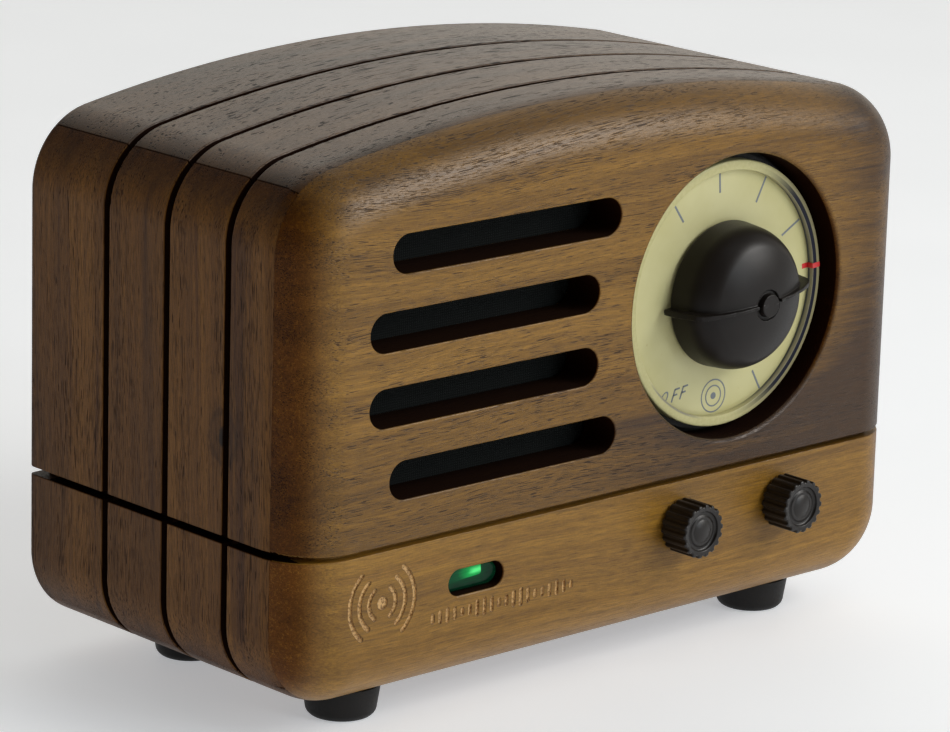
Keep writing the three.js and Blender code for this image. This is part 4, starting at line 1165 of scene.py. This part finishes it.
# ------------------------------------------------------------ pilot window
ob = shaped("pilot_window", led_lens, spans((LEDX - 6.9, LEDX + 6.9, 0.2)), spans((0.9, 2.2, 0.14), (2.2, 7.8, 0.3)), spans((LEDH - 3.2, LEDH + 3.2, 0.18)), flat=0)
finish_piece(ob, "case", ["led_lens"], M_LENS)

# ------------------------------------------------------------ grille cloth
def cloth(u, d, h):
    return rmax(rmax(np.maximum(outline(u, h) + T_WALL + 0.4, np.maximum(u + 0.8, 22.6 - h)), 6.52 - d, 0.1), d - 7.0, 0.1)


ob = shaped("grille_cloth_weave", cloth, spans((-47.4, -0.5, 0.7)), spans((6.3, 7.2, 0.15)), spans((22.2, 67.4, 0.7)), flat=0.02)
finish_piece(ob, "case", ["grille_cloth"], M_CLOTH)

# ---------------------------------------------------------- rear connectors
ob = shaped("usb_socket_shell", usb_shell, spans((USB[0] - 4.2, USB[0] + 4.2, 0.14)), spans((47.4, 56.2, 0.22)), spans((USB[1] - 1.8, USB[1] + 1.8, 0.12)), flat=0.05)
finish_piece(ob, "case", ["usb_socket"], M_TIN)
ob = shaped("audio_jack_shell", jack_shell, spans((JACK[0] - 4.3, JACK[0] + 4.3, 0.18)), spans((47.4, 56.5, 0.24)), spans((JACK[1] - 4.3, JACK[1] + 4.3, 0.18)), flat=0.05)
finish_piece(ob, "case", ["audio_jack"], M_BLACK)

# ------------------------------------------------ pieces that stay as in CAD
KEEP = {
    "dial_seat": M_SEAT, "speaker_baffle": M_FIBRE, "speaker_basket": M_BASKET, "speaker_surround": M_SURR, "speaker_spider": M_SPIDER,
    "speaker_cone": M_CONE, "speaker_dust_cap": M_CONE, "speaker_voice_coil": M_COPPER, "speaker_top_plate": M_STEEL, "speaker_magnet": M_MAGNET,
    "speaker_yoke": M_STEEL, "tuning_control": M_CAN, "tuning_nut": M_STEEL, "tuning_shaft": M_STEEL, "tone_control": M_CAN, "tone_shaft": M_STEEL,
    "volume_control": M_CAN, "volume_shaft": M_STEEL, "led_lamp": M_LAMP, "control_board": M_PCB, "main_board": M_PCB, "radio_module": M_TIN,
    "board_standoff_left": M_NYLON, "board_standoff_right": M_NYLON, "battery_cell": M_BATT, "battery_cradle": M_BLACK,
    "speaker_lead": M_RED, "battery_lead": M_BLK, "aerial_lead": M_BLK,
}
for i in range(1, 5):
    KEEP[f"speaker_screw_{i}"] = M_STEEL
for n, mat in KEEP.items():
    o = NODES[n]
    o.data.materials.clear()
    o.data.materials.append(mat)

# ------------------------------------------------------------------- stage
def floor_material():
    m = Mat("stage_floor")
    n = m.noise(m.pos, 0.02, 2.0, 0.5)
    c = m.ramp(n, [(0.3, (0.885, 0.905, 0.935, 1)), (0.7, (0.905, 0.925, 0.955, 1))])
    m.set(Base_Color=c, Emission_Color=c, Roughness=0.6)
    m.bsdf.inputs["Emission Strength"].default_value = 0.40
    m.bsdf.inputs["Specular IOR Level"].default_value = 0.15
    return m.mat


me = bpy.data.meshes.new("floor")
S_ = 6.0
me.from_pydata([(-S_, -S_, 0), (S_, -S_, 0), (S_, S_, 0), (-S_, S_, 0)], [], [(0, 1, 2, 3)])
floor = bpy.data.objects.new("floor", me)
floor.data.materials.append(floor_material())
SCENE.collection.objects.link(floor)

world = bpy.data.worlds.new("studio")
SCENE.world = world
world.use_nodes = True
wt = world.node_tree
bg = wt.nodes["Background"]
tc = wt.nodes.new("ShaderNodeTexCoord")
dot = wt.nodes.new("ShaderNodeVectorMath")
dot.operation = "DOT_PRODUCT"
wt.links.new(tc.outputs["Generated"], dot.inputs[0])
dot.inputs[1].default_value = (0.70, 0.71, 0.08)
mr = wt.nodes.new("ShaderNodeMapRange")
mr.interpolation_type = "SMOOTHSTEP"
wt.links.new(dot.outputs["Value"], mr.inputs[0])
for q, w in enumerate((0.35, 0.98, 0.14, 1.2)):
    mr.inputs[q + 1].default_value = w
tint = wt.nodes.new("ShaderNodeMix")
tint.data_type = "RGBA"
tint.blend_type = "MULTIPLY"
tint.inputs[0].default_value = 1.0
wt.links.new(mr.outputs[0], tint.inputs[6])
tint.inputs[7].default_value = (1.0, 0.96, 0.87, 1)
wt.links.new(tint.outputs[2], bg.inputs[0])
bg.inputs[1].default_value = 1.0


def softbox(name, loc, target, size, power, colour=(1, 1, 1)):
    L = bpy.data.lights.new(name, "AREA")
    L.shape = "RECTANGLE"
    L.size, L.size_y = size
    L.energy = power
    L.color = colour
    o = bpy.data.objects.new(name, L)
    SCENE.collection.objects.link(o)
    o.location = loc
    o.rotation_euler = (Vector(target) - Vector(loc)).to_track_quat("-Z", "Y").to_euler()
    return o


softbox("key", (0.46, -0.62, 0.60), (0.01, 0, 0.04), (0.42, 0.42), 3.2, (1.0, 0.985, 0.95))
softbox("front", (0.20, -0.80, 0.34), (0.01, 0, 0.045), (0.24, 0.40), 1.6, (0.86, 0.94, 1.0))
sheen = softbox("sheen", (0.50, -0.56, 0.48), (-0.01, 0, 0.06), (0.36, 0.36), 3.6, (1.0, 0.98, 0.95))
sheen.visible_diffuse = False
softbox("top", (0.05, -0.25, 0.95), (0, 0, 0.05), (0.5, 0.35), 0.3, (1.0, 1.0, 1.0))

# ------------------------------------------------------------------ camera
az, el, roll = math.radians(-42.863), math.radians(14.782), math.radians(1.622)
back = Vector((math.sin(az) * math.cos(el), -math.cos(az) * math.cos(el), math.sin(el)))
right = (-back).cross(Vector((0, 0, 1))).normalized()
up = right.cross(-back).normalized()
r2 = right * math.cos(roll) + up * math.sin(roll)
u2 = -right * math.sin(roll) + up * math.cos(roll)
target = Vector((-0.704, 28.5 + Y0, 33.368 + Z0)) * 0.001
cam_data = bpy.data.cameras.new("camera")
cam_data.sensor_width = 36.0
cam_data.sensor_fit = "HORIZONTAL"
cam_data.lens = 4555.411 * 36.0 / 950.0
cam_data.clip_start = 0.01
cam_data.clip_end = 50
cam = bpy.data.objects.new("camera", cam_data)
SCENE.collection.objects.link(cam)
cam.matrix_world = Matrix(((r2.x, u2.x, back.x, 0), (r2.y, u2.y, back.y, 0), (r2.z, u2.z, back.z, 0), (0, 0, 0, 1)))
cam.location = target + back * 0.632818
SCENE.camera = cam
SCENE.view_settings.view_transform = "Standard"
SCENE.view_settings.look = "None"
